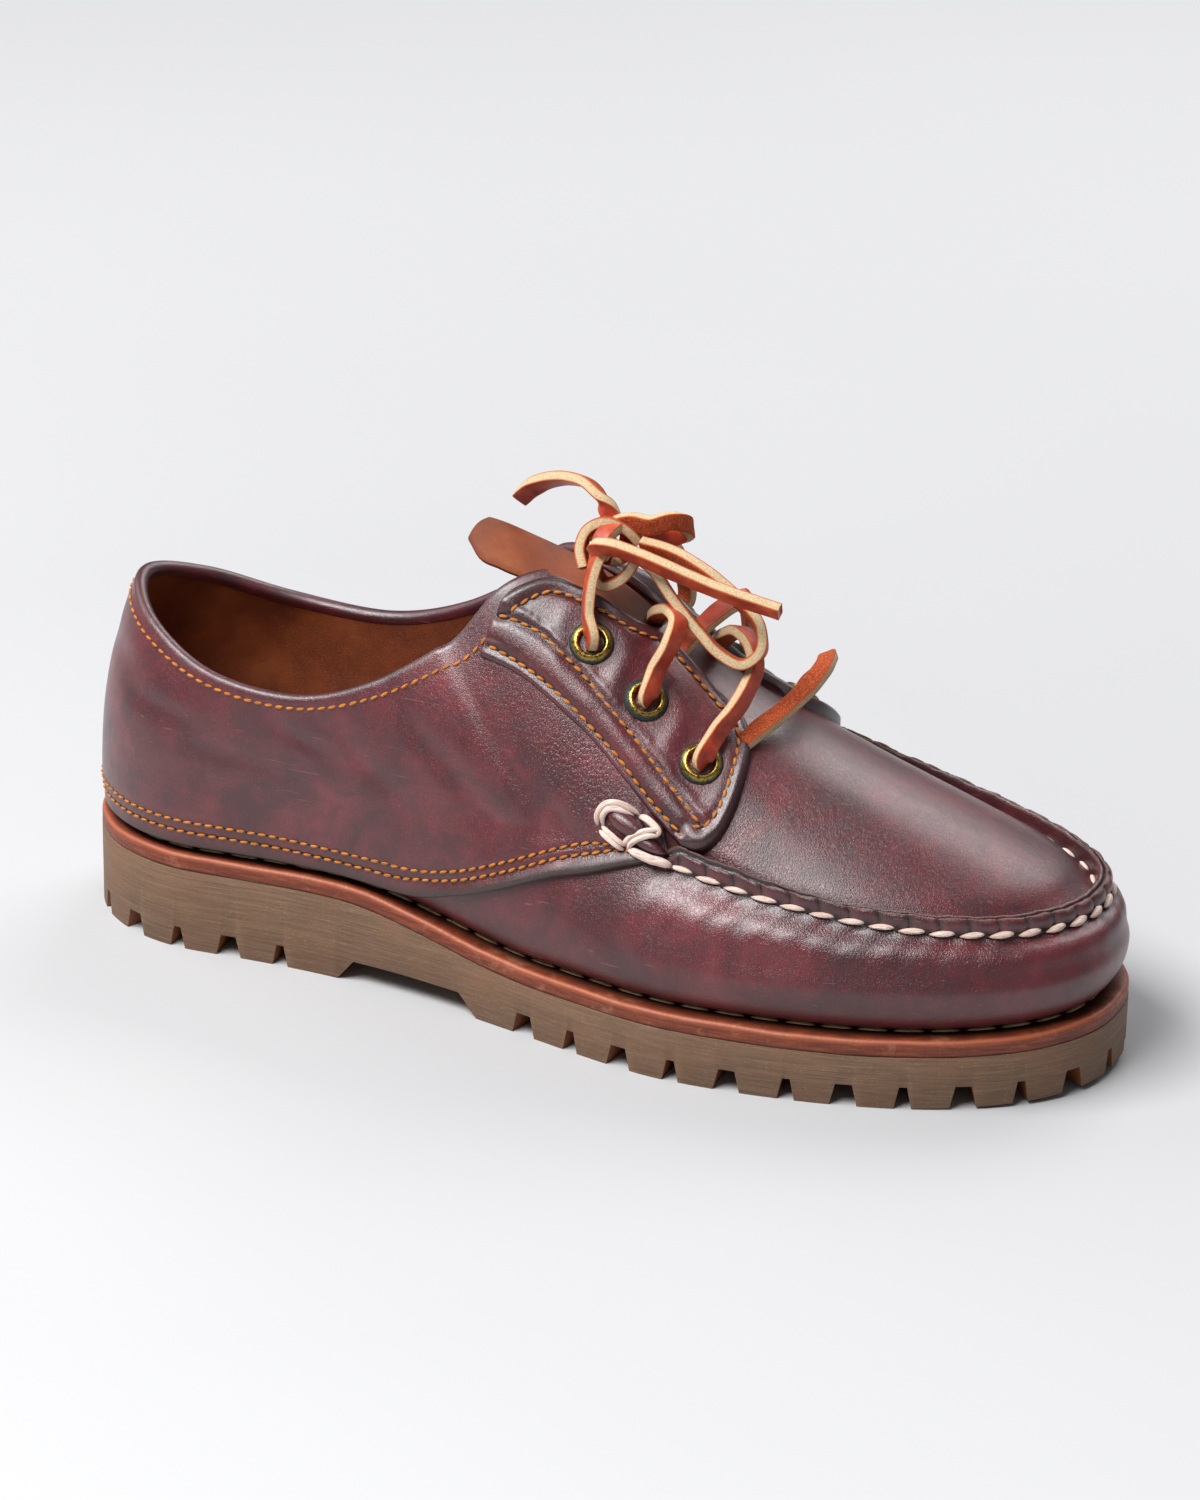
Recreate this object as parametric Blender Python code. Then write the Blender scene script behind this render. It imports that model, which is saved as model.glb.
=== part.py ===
"""A right boat shoe: hand-sewn moccasin upper, leather midsole and rubber lug sole.

Sizes are in millimetres and are turned to metres when a mesh is made. In the tables and the
functions X runs from the back of the heel (0) to the toe, Y is 0 on the heel's centre line,
minus on the outer (little toe) side and plus on the inner side, and Z is 0 on the floor.
The finished pieces are shifted so that X = 0 is the middle of the heel.
"""

import math
from collections import namedtuple

import bmesh
import bpy
import numpy as np

MM = 0.001
GAP = 0.3

# Sole, in plan and in height
SOLE_LENGTH = 300.0
HEEL_CENTRE = 38.0
TOE_TIP_Y = 4.0
RUBBER_FRONT = 14.8
RUBBER_HEEL = 24.0
WEDGE_START, WEDGE_END = 150.0, 82.0
TOE_SPRING = 2.0
SPRING_START = 232.0
LUG_DEPTH = 6.2
LUG_PITCH = 15.8
LUG_REACH = 15.0
FIRST_NOTCH = 8.0
WIDE_NOTCH = (7.4, 4.6)
NARROW_NOTCH = (4.6, 2.2)
ARCH_FROM, ARCH_TO = 92.0, 132.0
MIDSOLE = 4.4
MIDSOLE_BEVEL = 0.9
CENTRE_GROOVE = 5.0
GROOVE_WIDTH = 4.5
GROOVE_FROM_TOE, GROOVE_FROM_HEEL = 18.0, 15.0
ARCH_LAND = 12.0
HEEL_BREAST = 5.0
TREAD_BARS = (25.0, 51.0, 168.0, 197.0, 226.0, 255.0)
HEEL_ROUND, TOE_ROUND = 34.0, 50.0

# Upper
WALL = 2.2
LEDGE_FRONT = 8.5
LEDGE_HEEL = 6.0
BULGE_HEIGHT = 12.0
LIP_HEIGHT = 4.6
LIP_WIDTH = 3.6
LIP_OUTER_START, LIP_INNER_START = 191.5, 205.0
LIP_FADE = 8.0
UPPER_SEAT = 0.4
SEAT_GAP = 0.55
QUARTER = 1.3
QUARTER_TOP = SEAT_GAP + QUARTER
EYESTAY = 2.2
EYESTAY_GAP = 0.6
EYESTAY_TOP = EYESTAY_GAP + EYESTAY
EDGE_GAP = 0.7
LOBE_POWER = 2.4
INSOLE = 3.0
INSOLE_MARGIN = 1.3
INSOLE_SEAT = 0.45
TONGUE = 2.4
TONGUE_GAP = 0.5

# Eyelets and lace
EYELET_RADIUS = 6.0
EYELET_HOLE = 3.4
EYELET_BARREL = 4.1
EYELET_DOME = 1.2
EYELET_SEAT = 0.45
EYELET_SIDES = 12
HOLE_RADIUS = EYELET_BARREL + GAP
LACE = 3.6
LACE_GAP = 1.3
LACE_LIFT = EYESTAY_TOP + GAP + EYELET_DOME + LACE / 2 + LACE_GAP

# How finely the upper is divided, round the shoe and up its side
TOE_COLUMNS, MIDDLE_COLUMNS, HEEL_COLUMNS = 12, 11, 8
BELOW_LEVELS = (0.0, 0.1, 0.2, 0.3, 0.4, 0.6, 0.8)
ABOVE_SHARES = (0.12, 0.25, 0.38, 0.5, 0.61, 0.71, 0.81, 0.91, 1.0)
INSIDE_LEVELS = (2.0, 1.9, 1.75, 1.5, 1.2, 0.9, 0.4, 0.2, 0.0)
QUARTER_ABOVE = (0.0, 0.12, 0.25, 0.5, 0.81, 1.0)
LIP_SECTION = ((0.0, 0.0), (0.04, 0.96), (0.85, 1.0), (1.0, 0.0))

Side = namedtuple("Side", "ball_x ball_y toe_along toe_across heel_x heel_y waist sign")
SOLE_OUTER = Side(191, -55.7, 1.9, 2.36, 42, -37.5, 6.3, -1)
SOLE_INNER = Side(215, 50.0, 2.2, 2.16, 42, 36.5, 9.5, 1)
SEAM_OUTER = Side(205, -42.5, 2.2, 2.2, 42, -35.5, 1.5, -1)
SEAM_INNER = Side(212, 44.0, 2.4, 2.2, 42, 34.5, 3.5, 1)
SEAM_FRONT, SEAM_TIP_Y, SEAM_BACK = 292.0, 8.0, 3.0
TOE_SHARE, HEEL_SHARE = 0.365, 0.818

# Height of the seam line above the floor, along X
SEAM_HEIGHT = {
    -1: [(0, 58), (90, 57), (165, 58), (180, 57), (200, 53.5), (225, 50), (250, 47.5), (275, 45.8), (295, 45)],
    1: [(0, 58), (90, 60), (165, 63), (185, 63), (203, 61), (225, 55.5), (250, 50.5), (275, 46.8), (295, 45)],
}
# The ridge that the top of the foot makes, as if the throat were closed
RIDGE = [(95, 130), (110, 129.5), (118, 128.5), (127, 126), (137, 122), (151, 115.8), (165, 105.8), (187, 90),
         (205, 81.5), (225, 73.8), (245, 66.4), (265, 58.6), (280, 52), (292, 45.6)]
# Where the ridge runs in plan
RIDGE_Y = [(95, 1), (130, 3.5), (165, 4), (190, 3.5), (215, 3), (250, 3), (275, 5), (292, 8)]
# The top edge: share round from throat to heel back, X, Y outer, Y inner, Z where it leaves the ridge's arch
TopEdge = namedtuple("TopEdge", "share x y_outer y_inner z")
TOP_EDGE = [
    TopEdge(-0.10, 164.5, 10.5, -1.5, 0),
    TopEdge(0.00, 166, 4, 4, 0),
    TopEdge(0.10, 164.5, -1.5, 10.5, 0),
    TopEdge(0.20, 158, -6.0, 15.5, 0),
    TopEdge(0.30, 148, -7.5, 16.5, 0),
    TopEdge(0.40, 137, -9, 16.5, 0),
    TopEdge(0.48, 127, -17, 21, 0),
    TopEdge(0.56, 113, -26.5, 28, 98),
    TopEdge(0.64, 96, -31.5, 31.5, 87),
    TopEdge(0.74, 72, -33.5, 32.5, 79.5),
    TopEdge(0.84, 42, -30, 29, 82),
    TopEdge(0.92, 21, -18.5, 17.5, 90),
    TopEdge(1.00, 11, 0, 0, 95),
    TopEdge(1.08, 21, 17.5, -18.5, 90),
]

# Quarter's cut lower edge: share round against level
QUARTER_LOW = [(0.36, 1.33), (0.38, 1.24), (0.4062, 1.14), (0.4474, 1.0), (0.4886, 0.8), (0.5297, 0.6),
               (0.5709, 0.4), (0.6121, 0.26), (0.66, 0.19), (0.75, 0.18), (1.0, 0.18)]
# Eyestays in plan: ends of each row across and how far its middle bows forward
EyestayRow = namedtuple("EyestayRow", "x_inner y_inner x_outer y_outer bow")
EYESTAY_OUTER = [
    EyestayRow(128.5, -17.0, 124.5, -25.0, 0),
    EyestayRow(138.0, -10.4, 137.0, -26.2, 0),
    EyestayRow(148.5, -8.8, 148.0, -28.2, 0),
    EyestayRow(159.0, -7.4, 160.0, -30.4, 0),
    EyestayRow(168.0, -4.4, 170.5, -33.0, 1),
    EyestayRow(178.0, -5.0, 180.5, -35.6, 4.5),
    EyestayRow(186.5, -7.6, 189.0, -37.2, 11),
]
EYESTAY_INNER = [
    EyestayRow(128.5, 21.6, 124.5, 29.5, 0),
    EyestayRow(138.0, 17.9, 137.0, 31.6, 0),
    EyestayRow(148.5, 17.9, 148.0, 33.5, 0),
    EyestayRow(159.0, 16.6, 160.0, 35.0, 0),
    EyestayRow(169.0, 13.4, 171.5, 36.5, 1),
    EyestayRow(181.0, 14.8, 184.0, 37.6, 4.5),
    EyestayRow(193.0, 17.6, 196.0, 37.8, 11),
]
# Eyelet centres in plan, front to back
EYELETS = {-1: [(188.0, -25.0), (170.3, -21.2), (153.4, -18.4)],
           1: [(196.0, 27.5), (178.0, 26.0), (160.5, 24.6)]}
# Tongue in plan: X, middle Y and half width
TONGUE_ROWS = [(112, 2, 9), (116, 2, 13), (124, 2.5, 14.5), (134, 3.5, 14.5), (146, 4, 15.5), (160, 4, 16),
               (174, 4, 15), (184, 4, 12)]
# Free lace: points of each piece's middle line
KNOT = (152.0, 1.0, 128.0)
KNOT_RADII = (9.0, 7.0, 5.0)
KNOT_GAP = 1.6
LOOSE_LACE = {
    "lace_loop_outer": [(166.3, -7, 124), (172.6, -9, 118), (181.5, -10.5, 110), (187, -10.5, 105.3),
                        (193.7, -9.5, 102.8), (197.8, -7.5, 106.5), (196.5, -5, 111.5), (190.5, -3, 116.8),
                        (183.5, -2, 121.2), (176, -1.5, 124.8), (168.5, -0.5, 127)],
    "lace_loop_inner": [(162, 2, 133), (166, 4.5, 134.2), (169, 8.5, 132.4), (168.5, 12, 129),
                        (164.5, 10.5, 127)],
    "lace_end_outer": [(156, -12, 130.8), (165, -13, 129.7), (175, -13.5, 127.3), (190, -14, 124),
                       (205, -14, 121.5)],
    "lace_end_inner": [(147, 3, 138), (142, 5.5, 140.5), (136, 8.5, 140), (129, 12, 137.5), (122, 16, 133),
                       (116, 21, 127)],
}


def smooth(value):
    """0 below 0, 1 above 1, an S curve between."""
    value = np.clip(value, 0.0, 1.0)
    return value * value * (3 - 2 * value)


def through(knots, values, at):
    """A smooth curve through (knot, value) points: cubic Hermite, its slopes from the neighbours."""
    knots, values = np.asarray(knots, float), np.asarray(values, float)
    slope = np.gradient(values, knots)
    at = np.clip(np.asarray(at, float), knots[0], knots[-1])
    i = np.clip(np.searchsorted(knots, at, side="right") - 1, 0, len(knots) - 2)
    step = knots[i + 1] - knots[i]
    s = (at - knots[i]) / step
    return (
        (2 * s**3 - 3 * s**2 + 1) * values[i]
        + (s**3 - 2 * s**2 + s) * step * slope[i]
        + (3 * s**2 - 2 * s**3) * values[i + 1]
        + (s**3 - s**2) * step * slope[i + 1]
    )


def table(rows, at):
    return through([r[0] for r in rows], [r[1] for r in rows], at)


def half_loop(side, share, front, tip_y, back):
    """Half of a plan outline, from toe tip (share 0) to heel back (1): a superellipse quarter to
    the ball, an S curve with a waist to the heel, and a quarter ellipse round the heel."""
    share = np.asarray(share, float)
    toe = np.clip(share / TOE_SHARE, 0, 1) * math.pi / 2
    x_toe = side.ball_x + (front - side.ball_x) * np.cos(toe) ** (2 / side.toe_along)
    y_toe = tip_y + (side.ball_y - tip_y) * np.sin(toe) ** (2 / side.toe_across)
    middle = np.clip((share - TOE_SHARE) / (HEEL_SHARE - TOE_SHARE), 0, 1)
    x_mid = side.ball_x + (side.heel_x - side.ball_x) * middle
    y_mid = (
        side.ball_y
        + (side.heel_y - side.ball_y) * smooth(middle)
        - side.sign * side.waist * (4 * middle * (1 - middle)) ** 1.5
    )
    heel = np.clip((share - HEEL_SHARE) / (1 - HEEL_SHARE), 0, 1) * math.pi / 2
    x_heel = side.heel_x - (side.heel_x - back) * np.sin(heel)
    y_heel = side.heel_y * np.cos(heel)
    x = np.where(share < TOE_SHARE, x_toe, np.where(share < HEEL_SHARE, x_mid, x_heel))
    y = np.where(share < TOE_SHARE, y_toe, np.where(share < HEEL_SHARE, y_mid, y_heel))
    return np.stack([x, y], axis=-1)


def sole_edge(sign, share):
    side = SOLE_OUTER if sign < 0 else SOLE_INNER
    return half_loop(side, share, SOLE_LENGTH, TOE_TIP_Y, 0.0)


def outward(sign, share):
    """The unit normal of the sole's edge in plan."""
    step = 1e-3
    ahead = sole_edge(sign, np.clip(np.asarray(share) + step, 0, 1))
    behind = sole_edge(sign, np.clip(np.asarray(share) - step, 0, 1))
    along = ahead - behind
    normal = np.stack([along[..., 1], -along[..., 0]], axis=-1) * sign
    return normal / np.linalg.norm(normal, axis=-1, keepdims=True)


def sole_inset(sign, share, inset):
    ends = (np.asarray(share) < 1e-6) | (np.asarray(share) > 1 - 1e-6)
    normal = outward(sign, share)
    straight = np.stack([np.where(np.asarray(share) < 0.5, 1.0, -1.0), np.zeros_like(normal[..., 0])], axis=-1)
    normal = np.where(ends[..., None], straight, normal)
    return sole_edge(sign, share) - normal * np.asarray(inset)[..., None]


def spring(x):
    ahead = np.clip(np.asarray(x, float) - SPRING_START, 0, None)
    return TOE_SPRING * (ahead / (SOLE_LENGTH - SPRING_START)) ** 2


def rubber_top(x):
    wedge = smooth((WEDGE_START - np.asarray(x, float)) / (WEDGE_START - WEDGE_END))
    return RUBBER_FRONT + (RUBBER_HEEL - RUBBER_FRONT) * wedge + spring(x)


def midsole_top(x):
    return rubber_top(x) + GAP + MIDSOLE


def seam_point(sign, share):
    """The line where vamp and plug are sewn, carried on round the heel at half height."""
    side = SEAM_OUTER if sign < 0 else SEAM_INNER
    xy = half_loop(side, share, SEAM_FRONT, SEAM_TIP_Y, SEAM_BACK)
    return np.concatenate([xy, table(SEAM_HEIGHT[sign], xy[..., 0])[..., None]], axis=-1)


_FINE = np.linspace(0, 1, 400)
_SEAM = {sign: seam_point(sign, _FINE) for sign in (-1, 1)}


def seam_half(sign, x):
    """The seam line's Y at X."""
    points = _SEAM[sign][::-1]
    return np.interp(x, points[:, 0], points[:, 1])


def arch(x, y):
    """Height of the top of the foot at a plan point: from the seam line up to the ridge, steeper
    towards the instep."""
    x, y = np.asarray(x, float), np.asarray(y, float)
    outer, inner = seam_half(-1, x), seam_half(1, x)
    centre = table(RIDGE_Y, x)
    half = np.maximum(np.where(y < centre, centre - outer, inner - centre), 1e-6)
    low = np.where(y < centre, table(SEAM_HEIGHT[-1], x), table(SEAM_HEIGHT[1], x))
    across = np.clip(np.abs(y - centre) / half, 0, 1)
    power = 1.25 - 0.45 * smooth((230 - x) / 70)
    return low + (table(RIDGE, x) - low) * (1 - across**2.3) ** power


def arch_normal(x, y):
    step = 0.5
    dx = (arch(x + step, y) - arch(x - step, y)) / (2 * step)
    dy = (arch(x, y + step) - arch(x, y - step)) / (2 * step)
    normal = np.stack([-dx, -dy, np.ones_like(dx)], axis=-1)
    return normal / np.linalg.norm(normal, axis=-1, keepdims=True)


def on_arch(x, y, height=0.0):
    """A point above the arch by a height along its normal."""
    x, y = np.asarray(x, float), np.asarray(y, float)
    return np.stack([x, y, arch(x, y)], axis=-1) + arch_normal(x, y) * np.asarray(height)[..., None]


def top_point(sign, share):
    shares = [r.share for r in TOP_EDGE]
    x = through(shares, [r.x for r in TOP_EDGE], share)
    y = through(shares, [r.y_outer if sign < 0 else r.y_inner for r in TOP_EDGE], share)
    free = [r for r in TOP_EDGE if r.z]
    z_free = through([r.share for r in free], [r.z for r in free], share)
    collar = smooth((np.asarray(share) - 0.46) / 0.10)
    z = arch(x, y) * (1 - collar) + z_free * collar
    return np.stack([x, y, z], axis=-1)


def side_wall(sign, share, rise):
    """The vamp and quarter below the seam line. rise 0 is the edge on the midsole, 0.4 the widest
    place and 1 the seam: an ellipse quarter rolled under the foot, then a curve leaning inwards."""
    ledge = LEDGE_FRONT + (LEDGE_HEEL - LEDGE_FRONT) * smooth((np.asarray(share) - 0.5) / 0.3)
    bulge = 0.8 + 1.2 * smooth((np.asarray(share) - 0.55) / 0.3)
    if sign > 0:
        bulge = bulge - 2.2 * np.exp(-(((np.asarray(share) - 0.6) / 0.12) ** 2))
    foot = sole_inset(sign, share, ledge)
    wide = sole_inset(sign, share, bulge)
    top = seam_point(sign, share)
    turn = np.clip(rise / 0.4, 0, 1) * math.pi / 2
    climb = np.clip((rise - 0.4) / 0.6, 0, 1)
    base = midsole_top(wide[..., 0]) + UPPER_SEAT
    foot_xy = foot + (wide - foot) * np.sin(turn)[..., None]
    low_z = base + BULGE_HEIGHT * (1 - np.cos(turn))
    xy = foot_xy + (top[..., :2] - wide) * (climb**1.7)[..., None]
    z = low_z + (top[..., 2] - base - BULGE_HEIGHT) * climb
    return np.concatenate([xy, z[..., None]], axis=-1)


def plan_power(share):
    """How much the rows of the plug crowd towards the seam in plan."""
    return 1 + 0.6 * smooth((np.asarray(share) - 0.2) / 0.2)


def above_seam(sign, share, rise):
    """The plug and quarter above the seam line. rise 0 is the seam and 1 the top edge. In front it
    follows the arch between the two in plan, and at the back it is one curve between them."""
    low, high = seam_point(sign, share), top_point(sign, share)
    rear = smooth((np.asarray(share) - 0.44) / 0.16)
    eased = rise ** plan_power(share)
    plan = low[..., :2] + (high[..., :2] - low[..., :2]) * eased[..., None]
    front = np.concatenate([plan, arch(plan[..., 0], plan[..., 1])[..., None]], axis=-1)
    middle = low + (high - low) * np.array([0.2, 0.2, 0.55])
    keep, pull, end = (1 - rise) ** 2, 2 * rise * (1 - rise), rise**2
    back = low * keep[..., None] + middle * pull[..., None] + high * end[..., None]
    return front * (1 - rear)[..., None] + back * rear[..., None]


def shell(sign, share, level):
    """The upper's smooth outer face. level 0 to 1 is below the seam, 1 to 2 above it."""
    share, level = np.broadcast_arrays(np.asarray(share, float), np.asarray(level, float))
    below = side_wall(sign, share, np.clip(level, 0, 1))
    above = above_seam(sign, share, np.clip(level - 1, 0, 1))
    return np.where((level <= 1)[..., None], below, above)


def around(turn, level):
    """The shell once round: turn 0 to 1 is the outer side from toe to heel, 1 to 2 the inner side back."""
    turn, level = np.broadcast_arrays(np.mod(np.asarray(turn, float), 2.0), np.asarray(level, float))
    outer = shell(-1, np.clip(turn, 0, 1), level)
    inner = shell(1, np.clip(2 - turn, 0, 1), level)
    return np.where((turn <= 1)[..., None], outer, inner)


def raised(turn, level, height):
    """A point of the shell moved out along the shell's normal by a height."""
    turn, level = np.broadcast_arrays(np.asarray(turn, float), np.asarray(level, float))
    low, high = np.clip(level - 0.04, 0, 2), np.clip(level + 0.04, 0, 2)
    along = around(turn + 0.004, level) - around(turn - 0.004, level)
    up = around(turn, high) - around(turn, low)
    normal = np.cross(along, up)
    normal /= np.maximum(np.linalg.norm(normal, axis=-1, keepdims=True), 1e-9)
    return around(turn, level) - normal * np.asarray(height, float)[..., None]


def place_on_shell(points, turn, level):
    """Turn and level of the shell's points with the given plan positions, by Newton's method from a
    first guess."""
    turn, level = np.array(turn, float), np.array(level, float)
    for _ in range(30):
        here = around(turn, level)[..., :2]
        by_turn = (around(turn + 1e-4, level)[..., :2] - here) / 1e-4
        by_level = (around(turn, level + 1e-4)[..., :2] - here) / 1e-4
        miss = points - here
        size = by_turn[..., 0] * by_level[..., 1] - by_turn[..., 1] * by_level[..., 0]
        size = np.where(np.abs(size) < 1e-6, 1e-6, size)
        step_turn = (miss[..., 0] * by_level[..., 1] - miss[..., 1] * by_level[..., 0]) / size
        step_level = (by_turn[..., 0] * miss[..., 1] - by_turn[..., 1] * miss[..., 0]) / size
        turn = turn + np.clip(step_turn, -0.03, 0.03)
        level = np.clip(level + np.clip(step_level, -0.08, 0.08), 1.02, 1.999)
    return turn, level


# Building meshes
def clear_scene():
    for item in list(bpy.data.objects):
        bpy.data.objects.remove(item, do_unlink=True)


def material(name, colour, roughness, metallic=0.0):
    made = bpy.data.materials.new(name)
    made.use_nodes = True
    shader = made.node_tree.nodes["Principled BSDF"]
    shader.inputs["Base Color"].default_value = (*colour, 1.0)
    shader.inputs["Roughness"].default_value = roughness
    shader.inputs["Metallic"].default_value = metallic
    return made


def make(name, points, faces, skin, smooth_faces=True):
    """A mesh object from points in millimetres, moved so that the heel's middle is the origin."""
    shifted = (np.asarray(points, float) - np.array([HEEL_CENTRE, 0, 0])) * MM
    mesh = bpy.data.meshes.new(name)
    mesh.from_pydata([tuple(p) for p in shifted], [], [tuple(f) for f in faces])
    work = bmesh.new()
    work.from_mesh(mesh)
    bmesh.ops.recalc_face_normals(work, faces=work.faces)
    work.to_mesh(mesh)
    work.free()
    mesh.materials.append(skin)
    mesh.polygons.foreach_set("use_smooth", [smooth_faces] * len(mesh.polygons))
    made = bpy.data.objects.new(name, mesh)
    bpy.context.scene.collection.objects.link(made)
    return made


def ring_faces(rows, columns):
    """Quads of a grid of points that closes both ways."""
    return [
        (r * columns + c, r * columns + (c + 1) % columns,
         (r + 1) % rows * columns + (c + 1) % columns, (r + 1) % rows * columns + c)
        for r in range(rows) for c in range(columns)
    ]


def slab(name, outer, inner, skin):
    """A closed plate between two grids of the same size."""
    rows, columns = outer.shape[:2]
    back = rows * columns
    faces = []
    for r in range(rows - 1):
        for c in range(columns - 1):
            a, b, d, e = (r * columns + c, r * columns + c + 1, (r + 1) * columns + c + 1, (r + 1) * columns + c)
            faces += [(a, b, d, e), (a + back, e + back, d + back, b + back)]
    rim = [r * columns for r in range(rows)] + [(rows - 1) * columns + c for c in range(1, columns)]
    rim += [r * columns + columns - 1 for r in range(rows - 2, -1, -1)] + list(range(columns - 2, 0, -1))
    for a, b in zip(rim, rim[1:] + rim[:1]):
        faces.append((a, b, b + back, a + back))
    points = np.concatenate([outer.reshape(-1, 3), inner.reshape(-1, 3)])
    return make(name, points, faces, skin)


def prism(outline, low, high):
    """Points and faces of a straight prism over a plan outline."""
    count = len(outline)
    points = [(x, y, low) for x, y in outline] + [(x, y, high) for x, y in outline]
    faces = [tuple(range(count - 1, -1, -1)), tuple(range(count, 2 * count))]
    faces += [(i, (i + 1) % count, (i + 1) % count + count, i + count) for i in range(count)]
    return points, faces


def boolean(target, cutter, operation="DIFFERENCE"):
    step = target.modifiers.new(operation.lower(), "BOOLEAN")
    step.object = cutter
    step.operation = operation
    step.solver = "EXACT"
    cutter.hide_render = True
    cutter.display_type = "WIRE"
    bpy.context.view_layer.update()
    graph = bpy.context.evaluated_depsgraph_get()
    done = bpy.data.meshes.new_from_object(target.evaluated_get(graph))
    target.modifiers.clear()
    target.data = done
    bpy.data.objects.remove(cutter, do_unlink=True)


def tidy_mesh(item, angle=0.6):
    """Merge doubled points, turn all faces out and keep edges sharper than an angle flat shaded."""
    work = bmesh.new()
    work.from_mesh(item.data)
    bmesh.ops.remove_doubles(work, verts=work.verts, dist=0.00001)
    bmesh.ops.triangulate(work, faces=[f for f in work.faces if len(f.verts) > 4])
    bmesh.ops.dissolve_degenerate(work, dist=0.000002, edges=work.edges)
    bmesh.ops.recalc_face_normals(work, faces=work.faces)
    for edge in work.edges:
        edge.smooth = len(edge.link_faces) == 2 and edge.calc_face_angle(0) < angle
    work.to_mesh(item.data)
    work.free()


# Sole
def edge_lines(inset):
    """Y of the sole's edge, drawn in by an inset, as two functions of X, and the X range."""
    lines, low, high = {}, -1e9, 1e9
    for sign in (-1, 1):
        points = sole_inset(sign, _FINE, np.full_like(_FINE, inset) if np.isscalar(inset) else inset)[::-1]
        lines[sign] = points[np.argsort(points[:, 0], kind="stable")]
        low, high = max(low, points[:, 0].min()), min(high, points[:, 0].max())
    outer = lambda x: np.interp(x, lines[-1][:, 0], lines[-1][:, 1])
    inner = lambda x: np.interp(x, lines[1][:, 0], lines[1][:, 1])
    return outer, inner, low, high


def stations(low, high, ends, middle, extra=()):
    """X positions, closer together at the round ends."""
    heel = low + HEEL_ROUND * (1 - np.cos(np.linspace(0, math.pi / 2, ends)))
    toe = high - TOE_ROUND * (1 - np.cos(np.linspace(0, math.pi / 2, ends + 3)))
    inside = np.linspace(low + HEEL_ROUND, high - TOE_ROUND, middle)[1:-1]
    found = np.unique(np.round(np.concatenate([heel, toe, inside, list(extra)]), 3))
    found[0], found[-1] = low + 0.08, high - 0.08
    keep = [found[0]]
    for x in found[1:]:
        if x - keep[-1] > 0.25:
            keep.append(x)
    keep[-1] = found[-1]
    return np.array(keep)


def plate(name, inset, bottom, top, skin, extra=(), ends=9, middle=14):
    """A closed plate with a foot's outline between two height functions of X."""
    outer, inner, low, high = edge_lines(inset)
    xs = stations(low, high, ends, middle, extra)
    rings = np.stack(
        [
            np.stack([xs, outer(xs), bottom(xs)], -1),
            np.stack([xs, outer(xs), top(xs)], -1),
            np.stack([xs, inner(xs), top(xs)], -1),
            np.stack([xs, inner(xs), bottom(xs)], -1),
        ],
        axis=1,
    )
    count = len(xs)
    faces = [(0, 1, 2, 3), tuple((count - 1) * 4 + k for k in (3, 2, 1, 0))]
    for i in range(count - 1):
        for k in range(4):
            faces.append((i * 4 + k, i * 4 + (k + 1) % 4, (i + 1) * 4 + (k + 1) % 4, (i + 1) * 4 + k))
    return make(name, rings.reshape(-1, 3), faces, skin)


def sole_bottom(x):
    x = np.asarray(x, float)
    rise = np.clip((x - ARCH_FROM + HEEL_BREAST) / HEEL_BREAST, 0, 1) * np.clip((ARCH_TO - x) / 6, 0, 1)
    return np.where(x > SPRING_START, spring(x), LUG_DEPTH * rise)


def perimeter():
    """Fine points round the sole's edge and the distance along it from the outer ball forwards."""
    turn = np.linspace(0, 2, 1601)[:-1]
    sign = np.where(turn <= 1, -1, 1)
    share = np.where(turn <= 1, turn, 2 - turn)
    points = np.where((sign < 0)[:, None], sole_edge(-1, share), sole_edge(1, share))
    step = np.linalg.norm(np.roll(points, -1, axis=0) - points, axis=1)
    return points, np.concatenate([[0], np.cumsum(step)[:-1]]), step.sum()


def notch_cutters():
    """Trapezoid prisms, wide and narrow by turns, one lug pitch apart all round the tread."""
    points, distance, total = perimeter()
    count = int(round(total / LUG_PITCH / 2)) * 2
    verts, faces = [], []
    for k in range(count):
        at = (FIRST_NOTCH + k * total / count) % total
        i = int(np.searchsorted(distance, at)) % len(points)
        here = points[i]
        along = points[(i + 3) % len(points)] - points[i - 3]
        along /= np.linalg.norm(along)
        inward = np.array([-along[1], along[0]])
        if inward @ (np.array([np.clip(here[0], 40, 255), 2.0]) - here) < 0:
            inward = -inward
        if ARCH_FROM - 12 < here[0] < ARCH_TO + 8:
            continue
        low_width, top_width = WIDE_NOTCH if k % 2 else NARROW_NOTCH
        base = float(sole_bottom(here[0]))
        start, end = here - inward * 4.0, here + inward * LUG_REACH
        first = len(verts)
        for place, narrow in ((start, 1.0), (end, 0.85)):
            for width, z in ((low_width + 0.6, -1.0), (top_width, base + LUG_DEPTH)):
                for side in (-1, 1):
                    verts.append((*(place + along * side * width * narrow / 2), z))
        a = first
        faces += [(a, a + 1, a + 3, a + 2), (a + 4, a + 6, a + 7, a + 5), (a, a + 4, a + 5, a + 1),
                  (a + 2, a + 3, a + 7, a + 6), (a, a + 2, a + 6, a + 4), (a + 1, a + 5, a + 7, a + 3)]
    return verts, faces


def band_outline(inset_out, inset_in, low, high, number=9):
    """Closed ring between two insets of the sole's edge over a range of X, as quads for a prism."""
    loops = []
    for inset, pad in ((inset_out, 0.0), (inset_in, inset_in - inset_out)):
        outer, inner, *_ = edge_lines(inset)
        xs = np.linspace(low + pad, high - pad, number)
        loops.append(np.concatenate([np.stack([xs, outer(xs)], -1), np.stack([xs[::-1], inner(xs[::-1])], -1)]))
    return loops


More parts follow.
